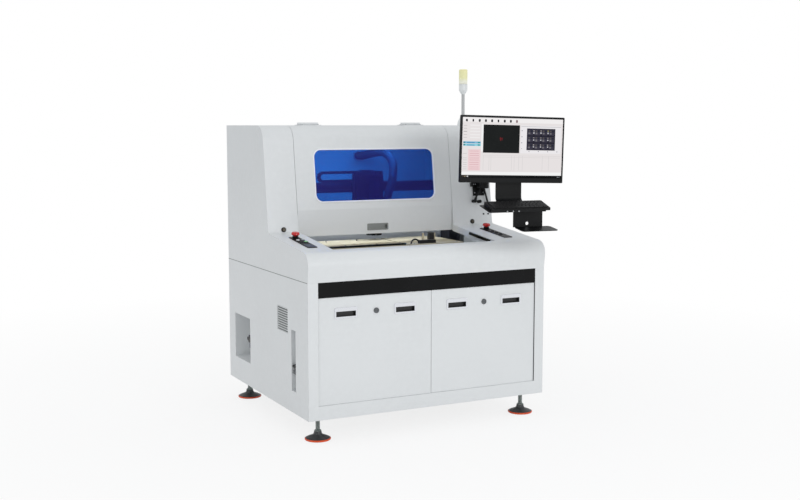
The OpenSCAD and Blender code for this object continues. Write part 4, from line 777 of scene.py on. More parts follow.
def screen_picture():
    p = np.empty((CELLS_Z, CELLS_X, 3))
    p[:] = (0.93, 0.91, 0.91)
    fill(p, 0, 0.045, 1, 0.10, (0.98, 0.98, 0.98))
    fill(p, 0.0, 0.925, 1.0, 1.0, (0.97, 0.96, 0.96))
    fill(p, 0.185, 0.44, 0.205, 0.90, (0.98, 0.98, 0.98))
    fill(p, 0, 0, 1, 0.045, (0.05, 0.06, 0.07))
    for k, tone in enumerate([(0.5, 0.42, 0.35), (0.65, 0.6, 0.5), (0.95, 0.95, 0.95)]):
        fill(p, 0.01 + 0.022 * k, 0.012, 0.024 + 0.022 * k, 0.034, tone)
    fill(p, 0.95, 0.016, 0.985, 0.030, (0.6, 0.62, 0.64))
    for k in range(9):
        tone = (0.08, 0.07, 0.10) if k < 8 else (0.55, 0.45, 0.47)
        x = 0.032 + 0.0615 * k
        fill(p, x, 0.934, x + 0.018, 0.968, tone)
        fill(p, x + 0.004, 0.928, x + 0.014, 0.974, tone)
    for k in range(5):
        fill(p, 0.01, 0.66 + 0.05 * k, 0.045, 0.667 + 0.05 * k, (0.72, 0.71, 0.71))
        fill(p, 0.075, 0.655 + 0.05 * k, 0.17, 0.675 + 0.05 * k, (0.96, 0.95, 0.95))
    for row, tone in ((0.565, (0.50, 0.74, 0.86)), (0.525, (0.55, 0.84, 0.90))):
        fill(p, 0.01, row, 0.18, row + 0.035, tone)
        fill(p, 0.012, row + 0.008, 0.03, row + 0.028, (0.12, 0.48, 0.52))
        fill(p, 0.045, row + 0.012, 0.12, row + 0.024, (0.28, 0.55, 0.72))
        fill(p, 0.15, row + 0.008, 0.175, row + 0.028, (0.16, 0.60, 0.62))
    fill(p, 0.06, 0.12, 0.18, 0.47, (0.95, 0.84, 0.85))
    for k in range(9):
        fill(p, 0.075, 0.14 + 0.037 * k, 0.165, 0.148 + 0.037 * k, (0.86, 0.66, 0.69))
        fill(p, 0.01, 0.14 + 0.037 * k, 0.05, 0.146 + 0.037 * k, (0.78, 0.76, 0.76))
    fill(p, 0.205, 0.42, 0.565, 0.885, (0.03, 0.035, 0.04))
    fill(p, 0.215, 0.435, 0.555, 0.870, (0.055, 0.07, 0.07))
    fill(p, 0.372, 0.62, 0.376, 0.685, (0.55, 0.10, 0.14))
    fill(p, 0.388, 0.62, 0.392, 0.685, (0.45, 0.08, 0.12))
    fill(p, 0.366, 0.650, 0.398, 0.656, (0.55, 0.10, 0.14))
    fill(p, 0.381, 0.455, 0.384, 0.60, (0.24, 0.05, 0.07))
    fill(p, 0.575, 0.42, 0.985, 0.885, (0.95, 0.94, 0.95))
    fill(p, 0.578, 0.868, 0.982, 0.873, (0.70, 0.70, 0.71))
    fill(p, 0.578, 0.430, 0.982, 0.435, (0.72, 0.72, 0.73))
    for k in range(4):
        fill(p, 0.583, 0.49 + 0.1 * k, 0.590, 0.503 + 0.1 * k, (0.35, 0.35, 0.4))
        fill(p, 0.66 + 0.095 * k, 0.447, 0.667 + 0.095 * k, 0.458, (0.35, 0.35, 0.4))
    fill(p, 0.635, 0.475, 0.925, 0.835, (0.11, 0.10, 0.16))
    for row in range(3):
        for column in range(4):
            x, z = 0.642 + 0.072 * column, 0.487 + 0.118 * row
            fill(p, x, z, x + 0.060, z + 0.100, (0.22, 0.21, 0.27))
            fill(p, x + 0.008, z + 0.020, x + 0.030, z + 0.050, (0.45, 0.44, 0.46))
            fill(p, x + 0.034, z + 0.055, x + 0.052, z + 0.085, (0.13, 0.14, 0.20))
            fill(p, x + 0.012, z + 0.070, x + 0.026, z + 0.082, (0.38, 0.36, 0.30))
            if column < 3:
                fill(p, x + 0.0605, z + 0.030, x + 0.0705, z + 0.052, (0.80, 0.80, 0.82))
                fill(p, x + 0.0605, z + 0.070, x + 0.0705, z + 0.086,
                     (0.62, 0.60, 0.45 if row == 2 and column == 2 else 0.60))
    for x in (0.21, 0.265, 0.285, 0.49, 0.515, 0.56, 0.60, 0.80, 0.865):
        fill(p, x, 0.13, x + 0.004, 0.38, (0.86, 0.85, 0.85))
    for z in (0.37, 0.345):
        fill(p, 0.205, z, 0.985, z + 0.006, (0.88, 0.86, 0.86))
    return p


picture = screen_picture()
u, w = np.meshgrid(np.linspace(SCREEN[0], SCREEN[2], CELLS_X + 1),
                   np.linspace(SCREEN[1], SCREEN[3], CELLS_Z + 1))
display = new_piece("display_picture", on_monitor(np.stack([u, np.full_like(u, 0.0), w], -1)),
                    grid_faces(CELLS_Z + 1, CELLS_X + 1), "monitor", "screen_glass", smooth=False)
linear = np.where(picture <= 0.04045, picture / 12.92, ((picture + 0.055) / 1.055) ** 2.4)
cells = np.concatenate([linear.reshape(-1, 3), np.ones((CELLS_X * CELLS_Z, 1))], 1)
attribute = display.data.attributes.new("picture", "FLOAT_COLOR", "FACE")
attribute.data.foreach_set("color", cells.astype(np.float32).ravel())
display.data.materials.append(display_finish)
print("display cells", len(cells))

# %% [markdown]
# ## The keyboard
# A low desk keyboard: a wedge of plastic and five rows of keycaps. One keycap is a block with all its edges
# taken off, and the rows only differ in how the same width is shared out.

# %% Keyboard body and keycaps
KEY_LEFT, KEY_FRONT, KEY_BASE = -0.147, -0.120, -0.010
KEY_WIDTH, KEY_DEPTH = 0.298, 0.104
ROW_PITCH, KEY_GAP, KEY_HEIGHT, KEY_EDGE = 0.018, 0.0018, 0.0048, 0.0011


def tray_local(points):
    """Keyboard frame: x from its left end, y from its front edge, z from the tray's plate."""
    return on_tray(np.asarray(points, float) + np.array([KEY_LEFT, KEY_FRONT, KEY_BASE]))


key_rows = [
    [1.25, 1.25, 1.25, 6.25, 1.25, 1.25, 1.25, 1.25],
    [2.25, 1, 1, 1, 1, 1, 1, 1, 1, 1, 1, 2.75],
    [1.75, 1, 1, 1, 1, 1, 1, 1, 1, 1, 1, 1, 2.25],
    [1.5, 1, 1, 1, 1, 1, 1, 1, 1, 1, 1, 1, 1, 1.5],
    [1, 1, 1, 1, 1, 1, 1, 1, 1, 1, 1, 1, 1, 2],
]
key_parts = []
slope = np.arctan(0.008 / 0.098)
for row, widths in enumerate(key_rows):
    edges = np.concatenate([[0], np.cumsum(widths)]) / sum(widths) * (KEY_WIDTH - 0.016)
    for a, b in zip(edges[:-1], edges[1:]):
        points, faces = bevelled_block((0.008 + a, 0.0065 + ROW_PITCH * row, 0.0),
                                       (0.008 + b - KEY_GAP, 0.0225 + ROW_PITCH * row, KEY_HEIGHT), KEY_EDGE)
        y, z = points[:, 1].copy(), points[:, 2].copy()
        points[:, 1] = y * np.cos(slope) - z * np.sin(slope)
        points[:, 2] = 0.0115 + y * np.sin(slope) + z * np.cos(slope)
        key_parts.append((points, faces))
profile = np.array([[0.0, 0.0], [KEY_DEPTH, 0.0], [KEY_DEPTH, 0.0188], [KEY_DEPTH - 0.0015, 0.0200],
                    [KEY_DEPTH - 0.006, 0.0200], [0.0012, 0.0125], [0.0, 0.0112]])
body_points = np.array([[[x, y, z] for y, z in profile] for x in (0.0, KEY_WIDTH)])
n = len(profile)
body_faces = [[k, (k + 1) % n, n + (k + 1) % n, n + k][::-1] for k in range(n)] + [list(range(n)),
                                                                                   list(range(2 * n - 1, n - 1, -1))]
key_parts.append((body_points, body_faces))
points, faces = gather(key_parts)
keyboard = new_piece("keyboard_with_keys", tray_local(points), faces, "tray", "panel_black", smooth=False)
keyboard.data.materials.append(key_plastic)
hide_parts("keyboard")
print("keys", len(key_parts) - 1)

# %% [markdown]
# ## Screws
# Small cap screws hold the plates. One screw is a turned profile with a hexagonal socket, and a whole set is
# one mesh, because they never move against each other.

# %% Cap screws
SCREW_SIDES = 18


def cap_screws(name, centres, place, outward, radius, body, slot, material):
    """Cap screws of one size: a turned rim (r, h) round a hexagonal socket.
    outward is the local direction off the surface, as an axis number and a sign."""
    axis, sign = outward
    t = np.linspace(0, 2 * np.pi, SCREW_SIDES, endpoint=False)
    rim = [(radius * 0.98, 0.0), (radius, radius * 0.25), (radius, radius * 0.62),
           (radius * 0.86, radius * 0.80), (radius * 0.60, radius * 0.80)]
    rings = [np.stack([r * np.cos(t), r * np.sin(t), np.full_like(t, h)], -1) for r, h in rim]
    hexagon = radius * 0.46 / np.maximum(np.cos((t + np.pi / 6) % (np.pi / 3) - np.pi / 6), 0.5)
    rings += [np.stack([hexagon * np.cos(t), hexagon * np.sin(t), np.full_like(t, h)],
                       -1) for h in (radius * 0.78, radius * 0.25)]
    rings.append(np.stack([t * 0, t * 0, np.full_like(t, radius * 0.2)], -1) + rings[-1] * [0.02, 0.02, 0])
    shape = np.array(rings)
    faces = grid_faces(len(rings), SCREW_SIDES, True)
    faces += [list(range(SCREW_SIDES))[::-1], [(len(rings) - 1) * SCREW_SIDES + k for k in range(SCREW_SIDES)]]
    order = {0: (2, 0, 1), 1: (0, 2, 1), 2: (0, 1, 2)}[axis]
    shape = shape[..., order]
    shape[..., axis] *= sign
    turns_over = (axis == 1) != (sign < 0)
    if turns_over:
        faces = [f[::-1] for f in faces]
    points, all_faces = gather([(shape + np.array(c), faces) for c in centres])
    piece = new_piece(name, place(points), all_faces, body, slot, smooth=False)
    piece.data.materials.append(material)
    return piece


roof = float(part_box("hinge_brackets")[0].z)
hinge_places = [(-0.040 + s * 0.289 + x, y, roof + 0.003) for s in (-1, 1) for x in (-0.042,
                                                                                     0.042) for y in (0.718, 0.734)]
cap_screws("hinge_screws", hinge_places, machine, (2, 1), 0.0036, "machine", "bright_steel", bright_steel)
leaf_places = [(-0.040 + s * 0.289 + x, 0.668, roof + 0.003) for s in (-1, 1) for x in (-0.042, 0.042)]
cap_screws("cover_leaf_screws", leaf_places, machine, (2, 1), 0.0036, "cover", "bright_steel", bright_steel)
hatch_y = float(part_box("cabinet_panels")[1].y - front_corner[1]) + 0.0025
hatch_places = [(x, hatch_y, z) for x in np.linspace(-0.546, 0.546, 6) for z in (0.788, 1.382)]
hatch_places += [(x, hatch_y, z) for x in (-0.546, 0.546) for z in (0.985, 1.185)]
cap_screws("hatch_screws", hatch_places, machine, (1, 1), 0.0040, "machine", "bright_steel", bright_steel)
fixture_top = float(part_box("left_table")[1].z) + 0.010
for side, body, xs in (("left", "left_table", (-0.426, 0.030)), ("right", "right_table", (0.104, 0.344))):
    places = [(x, y, fixture_top) for x in xs for y in (0.3725, 0.6725)]
    cap_screws(side + "_fixture_screws", places, machine, (2, 1), 0.0044, body, "bright_steel", bright_steel)
cap_screws("tray_lip_screws", [(x, -0.125, -0.0085) for x in (-0.075, -0.045, -0.016)], on_tray, (1, -1),
           0.0032, "tray", "bright_steel", bright_steel)
cap_screws("wall_plate_screws", [(0.551 + x, -0.006, face_run(z)) for x in (-0.026, 0.026) for z in (1.075,
                                                                                                     1.175)], on_face, (1, -1), 0.0036, "machine", "bright_steel", bright_steel)
cap_screws("crossbar_screws", [(0.551 + x, -0.026, face_run(1.117)) for x in (-0.041, -0.030, 0.041)], on_face,
           (1, -1), 0.0034, "machine", "bright_steel", bright_steel)
print("screws set")

# %% [markdown]
# ## The clamp rail
# A black anodised rail holds the front edge of the left board panel down. It is a long bar with bevelled edges,
# and three light screws sit on it.

# %% Front clamp rail
plate_low = np.array(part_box("left_fixture")[0]) - machine(np.zeros(3))
plate_high = np.array(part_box("left_fixture")[1]) - machine(np.zeros(3))
rail_top = fixture_top + 0.009
block_piece("front_clamp_rail", (plate_low[0] + 0.004, plate_low[1] + 0.001, fixture_top + 0.0002),
            (plate_high[0] - 0.016, plate_low[1] + 0.022, rail_top), 0.0012, machine, "left_table",
            "table_dark",
            black_plastic)
rail_screws = [(plate_low[0] + share * (plate_high[0] - plate_low[0]), plate_low[1] + 0.011,
                rail_top) for share in (0.06, 0.33, 0.62, 0.92)]
cap_screws("clamp_rail_screws", rail_screws, machine, (2, 1), 0.0032, "left_table", "bright_steel",
           bright_steel)
print("rail length", round(float(plate_high[0] - plate_low[0] - 0.020), 3))

# %% [markdown]
# ## The seam and the sockets
# A grey strip painted as the seam's shadow shows as a thin line where the upper shell meets the lower cabinet. It is
# a flat band carried round three sides of the machine. Two cable sockets sit in the tall recess on the left side: an
# oval black one and a round one with a grey collar.

# %% Painted seam shadow and cable sockets
SEAM_SHADOW_WIDTH, SEAM_SHADOW_PROUD = 0.0026, 0.0004
cabinet_back = float(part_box("cabinet_panels")[1].y - front_corner[1])
seam_height = float(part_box("trim_strip")[1].z) + 0.001


def seam_shadow_band():
    """A band of painted seam shadow round the corners (x, y) of three sides: each corner is carried at two
    heights and two distances out."""
    left, right = -float(HALF_WIDTH), float(HALF_WIDTH)
    corners = np.array([[left, 0.004], [left, cabinet_back], [right, cabinet_back], [right, 0.004]])
    out = np.array([[-1, 0], [-1, 1], [1, 1], [1, 0]]) * SEAM_SHADOW_PROUD
    inward = -out * 2
    ring = [np.column_stack([corners + out, np.full(4, seam_height - SEAM_SHADOW_WIDTH / 2)]),
            np.column_stack([corners + out, np.full(4, seam_height + SEAM_SHADOW_WIDTH / 2)]),
            np.column_stack([corners + inward, np.full(4, seam_height + SEAM_SHADOW_WIDTH / 2)]),
            np.column_stack([corners + inward, np.full(4, seam_height - SEAM_SHADOW_WIDTH / 2)])]
    points = np.stack(ring, 1)
    faces = grid_faces(4, 4, True)
    return machine(points).reshape(-1, 3), [f[::-1] for f in faces] + [[0, 1, 2, 3], [15, 14, 13, 12]]


# Painted shade: a grey strip stands in for the shadow in the gap between the upper shell and the cabinet.
seam_shadow_finish = coated("painted_seam_shadow", srgb(0.50, 0.52, 0.51), 0.6, 0.08, 40.0, 900.0, 0.00004,
                       Specular_IOR_Level=0.2)
# The strip of painted seam shadow rides on the machine.
seam_shadow_strip = new_piece("painted_seam_shadow_strip", *seam_shadow_band(), "machine", "panel_black", smooth=False)
seam_shadow_strip.data.materials.append(seam_shadow_finish)


def outward_left(origin):
    """Turns a shape's own z to face out of the machine's left side, from an origin on it."""
    return lambda p: machine(np.stack([origin[0] - p[..., 2], origin[1] - p[..., 0], origin[2] + p[..., 1]],
                                      -1))


SOCKET_X, SOCKET_Y, SOCKET_Z = -0.604, 0.179, 0.3245
flange = bevelled_block((-0.0215, -0.0075, 0.0), (0.0215, 0.0075, 0.006), 0.0015)
plug = bevelled_block((-0.0205, -0.0065, 0.0055), (0.0205, 0.0065, 0.0185), 0.0030)
socket_points, socket_faces = gather([flange, plug])
socket = new_piece("oval_socket", outward_left((SOCKET_X, SOCKET_Y, SOCKET_Z))(socket_points), socket_faces,
                   "machine", "panel_black", smooth=False)
socket.data.materials.append(black_plastic)
profile = [(0.0115, 0.0), (0.0120, 0.0010), (0.0120, 0.0110), (0.0105, 0.0120), (0.0085, 0.0122),
           (0.0085, 0.0180), (0.0070, 0.0190), (0.0015, 0.0190)]
round_socket = new_piece("round_socket", *turned(profile, 32, outward_left((SOCKET_X, SOCKET_Y + 0.004,
                                                                            SOCKET_Z - 0.026))), "machine",
                         "panel_black")
round_socket.data.materials.append(lock_metal)
print("seam at", round(float(seam_height), 4))

# %% [markdown]
# ## The window's seal
# A white seal runs round the window. It is a half-round bead carried along a rectangle with round corners: the
# bead's section is turned at each point to face out of the corner.

# %% Window seal


def window_seal():
    outline = rounded_outline(-0.366, face_run(1.056), 0.288, face_run(1.056) + 0.252, 0.035, 12)
    after, before = np.roll(outline, -1, 0), np.roll(outline, 1, 0)
    along = after - before
    outward = np.stack([along[:, 1], -along[:, 0]], -1)
    outward /= np.linalg.norm(outward, axis=1, keepdims=True)
    t = np.linspace(0, 2 * np.pi, 12, endpoint=False)
    across, height = 0.0032 + 0.0034 * np.cos(t), -0.0016 - 0.0020 * np.sin(t)
    xz = outline[:, None] + outward[:, None] * across[None, :, None]
    ring = np.stack([xz[..., 0], np.broadcast_to(height, xz.shape[:2]), xz[..., 1]], -1)
    count = len(outline)
    i, j = np.arange(count)[:, None], np.arange(12)[None, :]
    faces = np.stack([i * 12 + j, i * 12 + (j + 1) % 12, ((i + 1) % count) * 12 + (j + 1) % 12,
                      ((i + 1) % count) * 12 + j], -1)
    return on_face(ring).reshape(-1, 3), faces.reshape(-1, 4).tolist()


seal = new_piece("window_seal", *window_seal(), "cover", "housing_paint")
seal.data.materials.append(rim_rubber)
print("seal", len(seal.data.polygons), "faces")

# %% [markdown]
# ## The dust hose
# A ribbed hose carries the dust from the brush head to the port at the back. The rings of a hose are a wave in
# its radius, r = R (1 - a (1 - cos 2 pi s / p) / 2), where s is the distance along it and p the spacing of its ribs.

# %% Dust hose
HOSE_RADIUS, RIB_DEPTH, RIB_PITCH = 0.022, 0.11, 0.0075
hose_from = np.array([0.081, 0.664, 0.9143])
hose_to = np.array([0.120, 1.0727, 1.262])
hose_knots = [hose_from, hose_from + [0, 0, 0.060], hose_from + [0.018, -0.002, 0.150],
              hose_from + [0.048, 0.004, 0.236],
              hose_from + [0.069, 0.048, 0.322], hose_from + [0.069, 0.136, 0.368],
              hose_to + [0.014, -0.184, 0.018],
              hose_to + [0, -0.070, 0], hose_to]
hose_path = machine(smooth_path(hose_knots, 720))
steps = np.linalg.norm(np.diff(hose_path, axis=0), axis=1)
distance = np.concatenate([[0], np.cumsum(steps)])
hose_radius = HOSE_RADIUS * (1 - RIB_DEPTH * (1 - np.cos(2 * np.pi * distance / RIB_PITCH)) / 2)
hose = new_piece("ribbed_dust_hose", *tube(hose_path, hose_radius, 28), None, "hose_grey")
hose.data.materials.append(hose_rubber)
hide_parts("dust_hose")
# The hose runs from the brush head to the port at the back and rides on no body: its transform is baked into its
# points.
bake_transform(hose)
print("hose length", round(float(distance[-1]), 3))

# %% [markdown]
# ## The cable chain
# The chain is a row of small nylon links that rolls over as the head travels. Every link is two side plates and a
# cover bar, set along the same path as the solid: straight, round the bend and back.

# %% Cable chain links
BEAM_TOP, CHAIN_T, CHAIN_Y, CHAIN_W = 1.130, 0.014, 0.778, 0.026
CHAIN_RUN, CHAIN_R, LINK_LENGTH = 0.250, 0.022, 0.018
chain_bend_x = 0.020 + 0.020 - CHAIN_RUN
chain_z = BEAM_TOP + 0.002 + CHAIN_T / 2
chain_length = 2 * CHAIN_RUN + np.pi * CHAIN_R


def chain_place(s):
    """Point and direction of the chain at the distance s along it."""
    if s < CHAIN_RUN:
        return np.array([chain_bend_x + CHAIN_RUN - s, chain_z]), np.pi
    if s < CHAIN_RUN + np.pi * CHAIN_R:
        a = -np.pi / 2 - (s - CHAIN_RUN) / CHAIN_R
        return np.array([chain_bend_x + CHAIN_R * np.cos(a),
                         chain_z + CHAIN_R + CHAIN_R * np.sin(a)]), a - np.pi / 2
    return np.array([chain_bend_x + s - CHAIN_RUN - np.pi * CHAIN_R, chain_z + 2 * CHAIN_R]), 0.0


link_parts = []
links = int(chain_length / LINK_LENGTH)
pitch = chain_length / links
for k in range(links):
    (x, z), angle = chain_place((k + 0.5) * pitch)
    c, s = np.cos(angle), np.sin(angle)
    blocks = [((-pitch * 0.56, CHAIN_Y, -0.0065), (pitch * 0.44, CHAIN_Y + 0.0035, 0.0065)),
              ((-pitch * 0.56, CHAIN_Y + CHAIN_W - 0.0035, -0.0065), (pitch * 0.44, CHAIN_Y + CHAIN_W, 0.0065)),
              ((-pitch * 0.30, CHAIN_Y + 0.001, 0.0045), (pitch * 0.30, CHAIN_Y + CHAIN_W - 0.001, 0.0070)),
              ((-pitch * 0.30, CHAIN_Y + 0.001, -0.0070), (pitch * 0.30, CHAIN_Y + CHAIN_W - 0.001, -0.0045))]
    for low, high in blocks:
        points, faces = bevelled_block(low, high, 0.0009)
        points = np.stack([x + points[:, 0] * c - points[:, 2] * s, points[:, 1],
                           z + points[:, 0] * s + points[:, 2] * c], -1)
        link_parts.append((points, faces))
channel, channel_faces = bevelled_block((-0.560, 0.774, BEAM_TOP), (0.080, 0.808, BEAM_TOP + 0.002), 0.0005)
link_parts.append((channel, channel_faces))
points, faces = gather(link_parts)
chain = new_piece("chain_links", machine(points), faces, "machine", "chain_black", smooth=False)
chain.data.materials.append(chain_plastic)
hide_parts("cable_chain")
print("links", links)

# %% [markdown]
# ## The dust brush
# A ring of stiff bristles hangs round the cutter. The solid is a plain sleeve, so it is replaced by its holder and
# three rows of thin tapered tufts that lean inward a little at their tips.

# %% Brush holder and bristles
spindle = np.array([0.020, 0.664, 0.0])
holder_profile = [(0.031, 0.9138), (0.0437, 0.9140), (0.0440, 0.9130), (0.0440, 0.8885), (0.0425, 0.8880),
                  (0.034, 0.8880)]
holder = turned([(r, h) for r, h in holder_profile[::-1]], 48, lambda p: machine(p + spindle))
outlet = turned([(0.0218, 0.8882), (0.0220, 0.8890), (0.0220, 0.9130), (0.0215, 0.9138)], 36,
                lambda p: machine(p + spindle + [0.061, 0, 0]))
random = np.random.default_rng(7)
tufts = []
for row, radius in enumerate((0.0415, 0.0395, 0.0372)):
    count = 110
    t = (np.arange(count) + row / 3) / count * 2 * np.pi + random.normal(0, 0.006, count)
    tip = radius - 0.0035 + random.normal(0, 0.0008, count)
    reach = 0.8625 + random.uniform(0, 0.0012, count)
    for a, r1, z1 in zip(t, tip, reach):
        half, along = 0.0011, np.array([-np.sin(a), np.cos(a), 0])
        out = np.array([np.cos(a), np.sin(a), 0])
        root = out * radius + [0, 0, 0.889]
        end = out * r1 + [0, 0, z1]
        ring = [root + along * half, root + out * half, root - along * half, root - out * half]
        ring += [end + along * half * 0.55, end + out * half * 0.55, end - along * half * 0.55,
                 end - out * half * 0.55]
        sides = [[k, (k + 1) % 4, 4 + (k + 1) % 4, 4 + k] for k in range(4)] + [[3, 2, 1, 0], [4, 5, 6, 7]]
        tufts.append((np.array(ring) + spindle, sides))
points, faces = gather([(p - machine(np.zeros(3)), f) for p, f in (holder, outlet)] + tufts)
brush = new_piece("bristle_brush", machine(points), faces, "head", "brush_black", smooth=False)
brush.data.materials.append(bristle)
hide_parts("dust_brush")
print("tufts", len(tufts))

# %% [markdown]
# ## Small parts on the outside
# A push-button sits in a collar that holds it in its plate. A collar is a square section with its outer corners
# taken off, swept round a circle, and all the collars of one plate are one mesh.

# %% Button collars
COLLAR_SIDES = 30


def collars(name, centres, inner, outer, height, place, body, slot, material):
    """Rings round button caps: a turned section from the inner to the outer radius."""
    section = [(inner, 0.0), (inner, height), (inner + 0.0006, height + 0.0004),
               (outer - 0.0010, height + 0.0004), (outer, height - 0.0006), (outer, 0.0)]
    parts = []
    for c in centres:
        t = np.linspace(0, 2 * np.pi, COLLAR_SIDES, endpoint=False)
        r, h = np.array(section).T[..., None]
        rings = np.stack([r * np.cos(t), r * np.sin(t), np.repeat(h, COLLAR_SIDES, 1)], -1)
        faces = [f[::-1] for f in grid_faces(len(section), COLLAR_SIDES, True)]
        last = (len(section) - 1) * COLLAR_SIDES
        after = [(k + 1) % COLLAR_SIDES for k in range(COLLAR_SIDES)]
        faces += [[k, last + k, last + after[k], after[k]][::-1] for k in range(COLLAR_SIDES)]
        parts.append((rings + np.array(c), faces))
    points, faces = gather(parts)
    piece = new_piece(name, place(points), faces, body, slot)
    piece.data.materials.append(material)
    return piece


plate_rear = (0.128 + 0.240 - FACE_FOOT[0]) / np.cos(DECK_SLOPE)
first_button = plate_rear - 0.028 - 0.062
left_centres = [(-0.545 + s * 0.012, first_button - 0.038 * i, 0.003) for i in (0, 1) for s in (-1, 1)]
right_centres = [(0.500, first_button - 0.038 * i, 0.003) for i in range(3)]
collar_metal = coated("dark_collar", srgb(0.16, 0.16, 0.17), 0.30, 0.1, 90.0, 1500.0, 0.00002)
collars("left_button_collars", left_centres, 0.0084, 0.0112, 0.0026, on_deck, "machine", "panel_black",
        collar_metal)
collars("right_button_collars", right_centres, 0.0084, 0.0130, 0.0030, on_deck, "machine", "panel_black",
        collar_metal)
print("collars on the deck", len(left_centres) + len(right_centres))

# %% [markdown]
# ## The blue insert
# The front end of the left plate carries a smooth dark-blue insert, a thin bevelled block on the sloping deck.

# %% Blue insert
insert_finish = coated("deep_blue_insert", srgb(0.08, 0.14, 0.27), 0.30, 0.25, 60.0, 1500.0, 0.00002,
                       Specular_IOR_Level=0.2)
plate_front = (0.128 - FACE_FOOT[0]) / np.cos(DECK_SLOPE)
block_piece("left_plate_insert", (-0.565, plate_front + 0.006, 0.0030), (-0.525, plate_front + 0.066, 0.0038),
            0.0004, on_deck, "machine", "panel_black", insert_finish)
print("insert placed")

# %% [markdown]
# ## The air unit
# The filter and regulator sits in its recess on the left side. Its front carries a yellow-green plate beside a
# dark-blue strip, and the shut-off valve behind it has a blue face and a black lever.

# %% Air unit details
knob_low, knob_high = (np.array(corner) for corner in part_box("regulator_knob"))
air = (knob_low + knob_high) / 2 - machine(np.zeros(3))
air[2] = knob_high[2] - 0.062
label_finish = coated("yellow_green_label", srgb(0.56, 0.60, 0.42), 0.40, 0.18, 120.0, 1500.0, 0.00002)
blue_body = coated("blue_valve_body", srgb(0.13, 0.12, 0.30), 0.34, 0.12, 90.0, 1200.0, 0.00003,
                   Specular_IOR_Level=0.2)

air_blocks = [
    ("air_unit_label", (-0.0150, -0.0235, -0.0280), (0.0160, -0.0203, 0.0072), 0.0008, label_finish),
    ("air_unit_side_strip", (-0.0200, -0.0235, -0.0280), (-0.0155, 0.0190, -0.0003), 0.0008, blue_body),
    ("valve_face", (-0.0150, 0.0205, 0.0015), (-0.0138, 0.0462, 0.0325), 0.0003, blue_body),
]
for name, low, high, edge, finish in air_blocks:
    block_piece(name, air + low, air + high, edge, machine, "machine", "air_metal", finish)
lever_parts = [bevelled_block((air[0] - 0.012, air[1] + 0.0460, air[2] + 0.012),
                              (air[0] + 0.012, air[1] + 0.0520, air[2] + 0.022), 0.0015),
               bevelled_block((air[0] - 0.005, air[1] + 0.0500, air[2] + 0.013),
                              (air[0] + 0.005, air[1] + 0.0760, air[2] + 0.021), 0.0020)]
lever = new_piece("valve_lever", machine(gather(lever_parts)[0]), gather(lever_parts)[1], "machine",
                  "air_metal", smooth=False)
lever.data.materials.append(black_plastic)
print("air unit dressed")

# %% [markdown]
# ## Floor and light
# The studio is plain: a pale floor that keeps a soft shadow, a white surround and two soft lamps, with two small
# lamps inside the machine. The floor's own colour fades into the white surround for the camera only, so the light
# on the machine stays level.

# %% Floor, surround and lamps


def studio_floor():
    f = Finish("studio_floor")
    matte = f.add("ShaderNodeBsdfDiffuse")
    f.link(f.ramp(f.noise(0.8, 2.0), [(0.3, (0.90, 0.90, 0.90, 1.0)), (0.7, (0.92, 0.92, 0.92, 1.0))]),
           matte.inputs["Color"])
    white = f.add("ShaderNodeEmission")
    path = f.add("ShaderNodeLightPath")
    seen = f.maths("MAXIMUM", f.maths("MAXIMUM", path.outputs["Is Camera Ray"], path.outputs["Is Glossy Ray"]),
                   path.outputs["Is Transmission Ray"])
    join = f.add("ShaderNodeMixShader")
    distance = f.add("ShaderNodeVectorMath", operation="LENGTH")
    f.link(f.place, distance.inputs[0])
    fade = f.ramp(f.maths("DIVIDE", distance.outputs["Value"], 10.0), [(0.10, 0.80), (0.42, 1.0)])
    f.link(f.maths("MULTIPLY", seen, fade), join.inputs[0])
    f.link(matte.outputs[0], join.inputs[1])
    f.link(white.outputs[0], join.inputs[2])
    return f.finish(join.outputs[0])


FLOOR_SIDES, FLOOR_DROP = 96, 0.0005
angle = np.linspace(0, 2 * np.pi, FLOOR_SIDES, endpoint=False)
reach = np.array([0.001, 1.0, 3.0, 8.0, 20.0, 60.0])
points = np.stack([reach[:, None] * np.cos(angle), reach[:, None] * np.sin(angle),
                   np.full((len(reach), FLOOR_SIDES), -FLOOR_DROP)], -1)
mesh = bpy.data.meshes.new("studio_floor")
mesh.from_pydata(points.reshape(-1, 3).tolist(), [], [f[::-1] for f in grid_faces(len(reach), FLOOR_SIDES,
                                                                                  True)])
floor = bpy.data.objects.new("studio_floor", mesh)
floor.data.materials.append(studio_floor())
bpy.context.scene.collection.objects.link(floor)

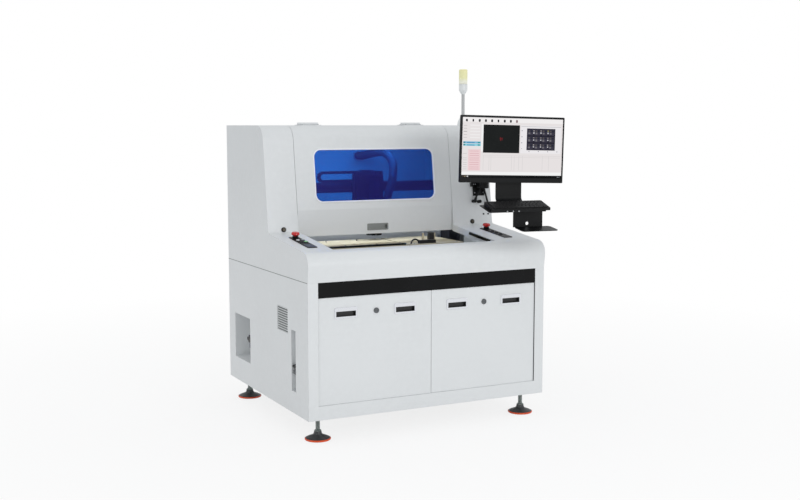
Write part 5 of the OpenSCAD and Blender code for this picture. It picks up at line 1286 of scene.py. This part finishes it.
world = bpy.data.worlds.new("studio")
bpy.context.scene.world = world
world.use_nodes = True
nodes, links = world.node_tree.nodes, world.node_tree.links
nodes.clear()
light_path = nodes.new("ShaderNodeLightPath")
fill_light, backdrop, blend = nodes.new("ShaderNodeBackground"), nodes.new("ShaderNodeBackground"), nodes.new("ShaderNodeMixShader")
fill_light.inputs["Color"].default_value = (0.96, 0.98, 1.0, 1.0)
fill_light.inputs["Strength"].default_value = 0.78
backdrop.inputs["Color"].default_value = (1.0, 1.0, 1.0, 1.0)
backdrop.inputs["Strength"].default_value = 1.0
camera_or_gloss = nodes.new("ShaderNodeMath")
camera_or_gloss.operation = "MAXIMUM"
links.new(light_path.outputs["Is Camera Ray"], camera_or_gloss.inputs[0])
links.new(light_path.outputs["Is Transmission Ray"], camera_or_gloss.inputs[1])
links.new(camera_or_gloss.outputs[0], blend.inputs[0])
links.new(fill_light.outputs[0], blend.inputs[1])
links.new(backdrop.outputs[0], blend.inputs[2])
links.new(blend.outputs[0], nodes.new("ShaderNodeOutputWorld").inputs["Surface"])


def soft_lamp(name, place, aim, size, power, colour=(1.0, 1.0, 1.0), depth=None):
    """An area lamp at a place, turned to face its aim: square, or size wide and depth deep."""
    data = bpy.data.lights.new(name, "AREA")
    data.shape = "RECTANGLE"
    data.size, data.size_y = size, depth or size
    data.energy, data.color = power, colour
    lamp = bpy.data.objects.new(name, data)
    lamp.location = place
    direction = np.array(aim, float) - np.array(place, float)
    yaw = np.arctan2(direction[1], direction[0]) - np.pi / 2
    pitch_angle = np.arctan2(np.hypot(direction[0], direction[1]), -direction[2])
    lamp.rotation_euler = (pitch_angle, 0.0, yaw)
    bpy.context.scene.collection.objects.link(lamp)


soft_lamp("key_lamp", (0.2, -5.4, 1.9), (0, 0, 0.7), 2.4, 52.0)
soft_lamp("top_lamp", (-1.2, 0.6, 4.6), (0, 0, 0.9), 3.0, 5.0)
soft_lamp("chamber_lamp", (-0.08, 0.17, 1.395), (-0.08, 0.42, 1.0), 0.7, 5.0, (0.93, 0.98, 1.0), 0.06)
soft_lamp("well_lamp", (-0.08, 0.10, 1.00), (-0.08, 0.02, 0.84), 0.7, 0.10, (1.0, 1.0, 1.0), 0.04)
print("floor and lamps set")

# %% [markdown]
# ## View settings
# The picture is shown without a film look.

# %% Finish
bpy.context.scene.view_settings.view_transform = "Standard"
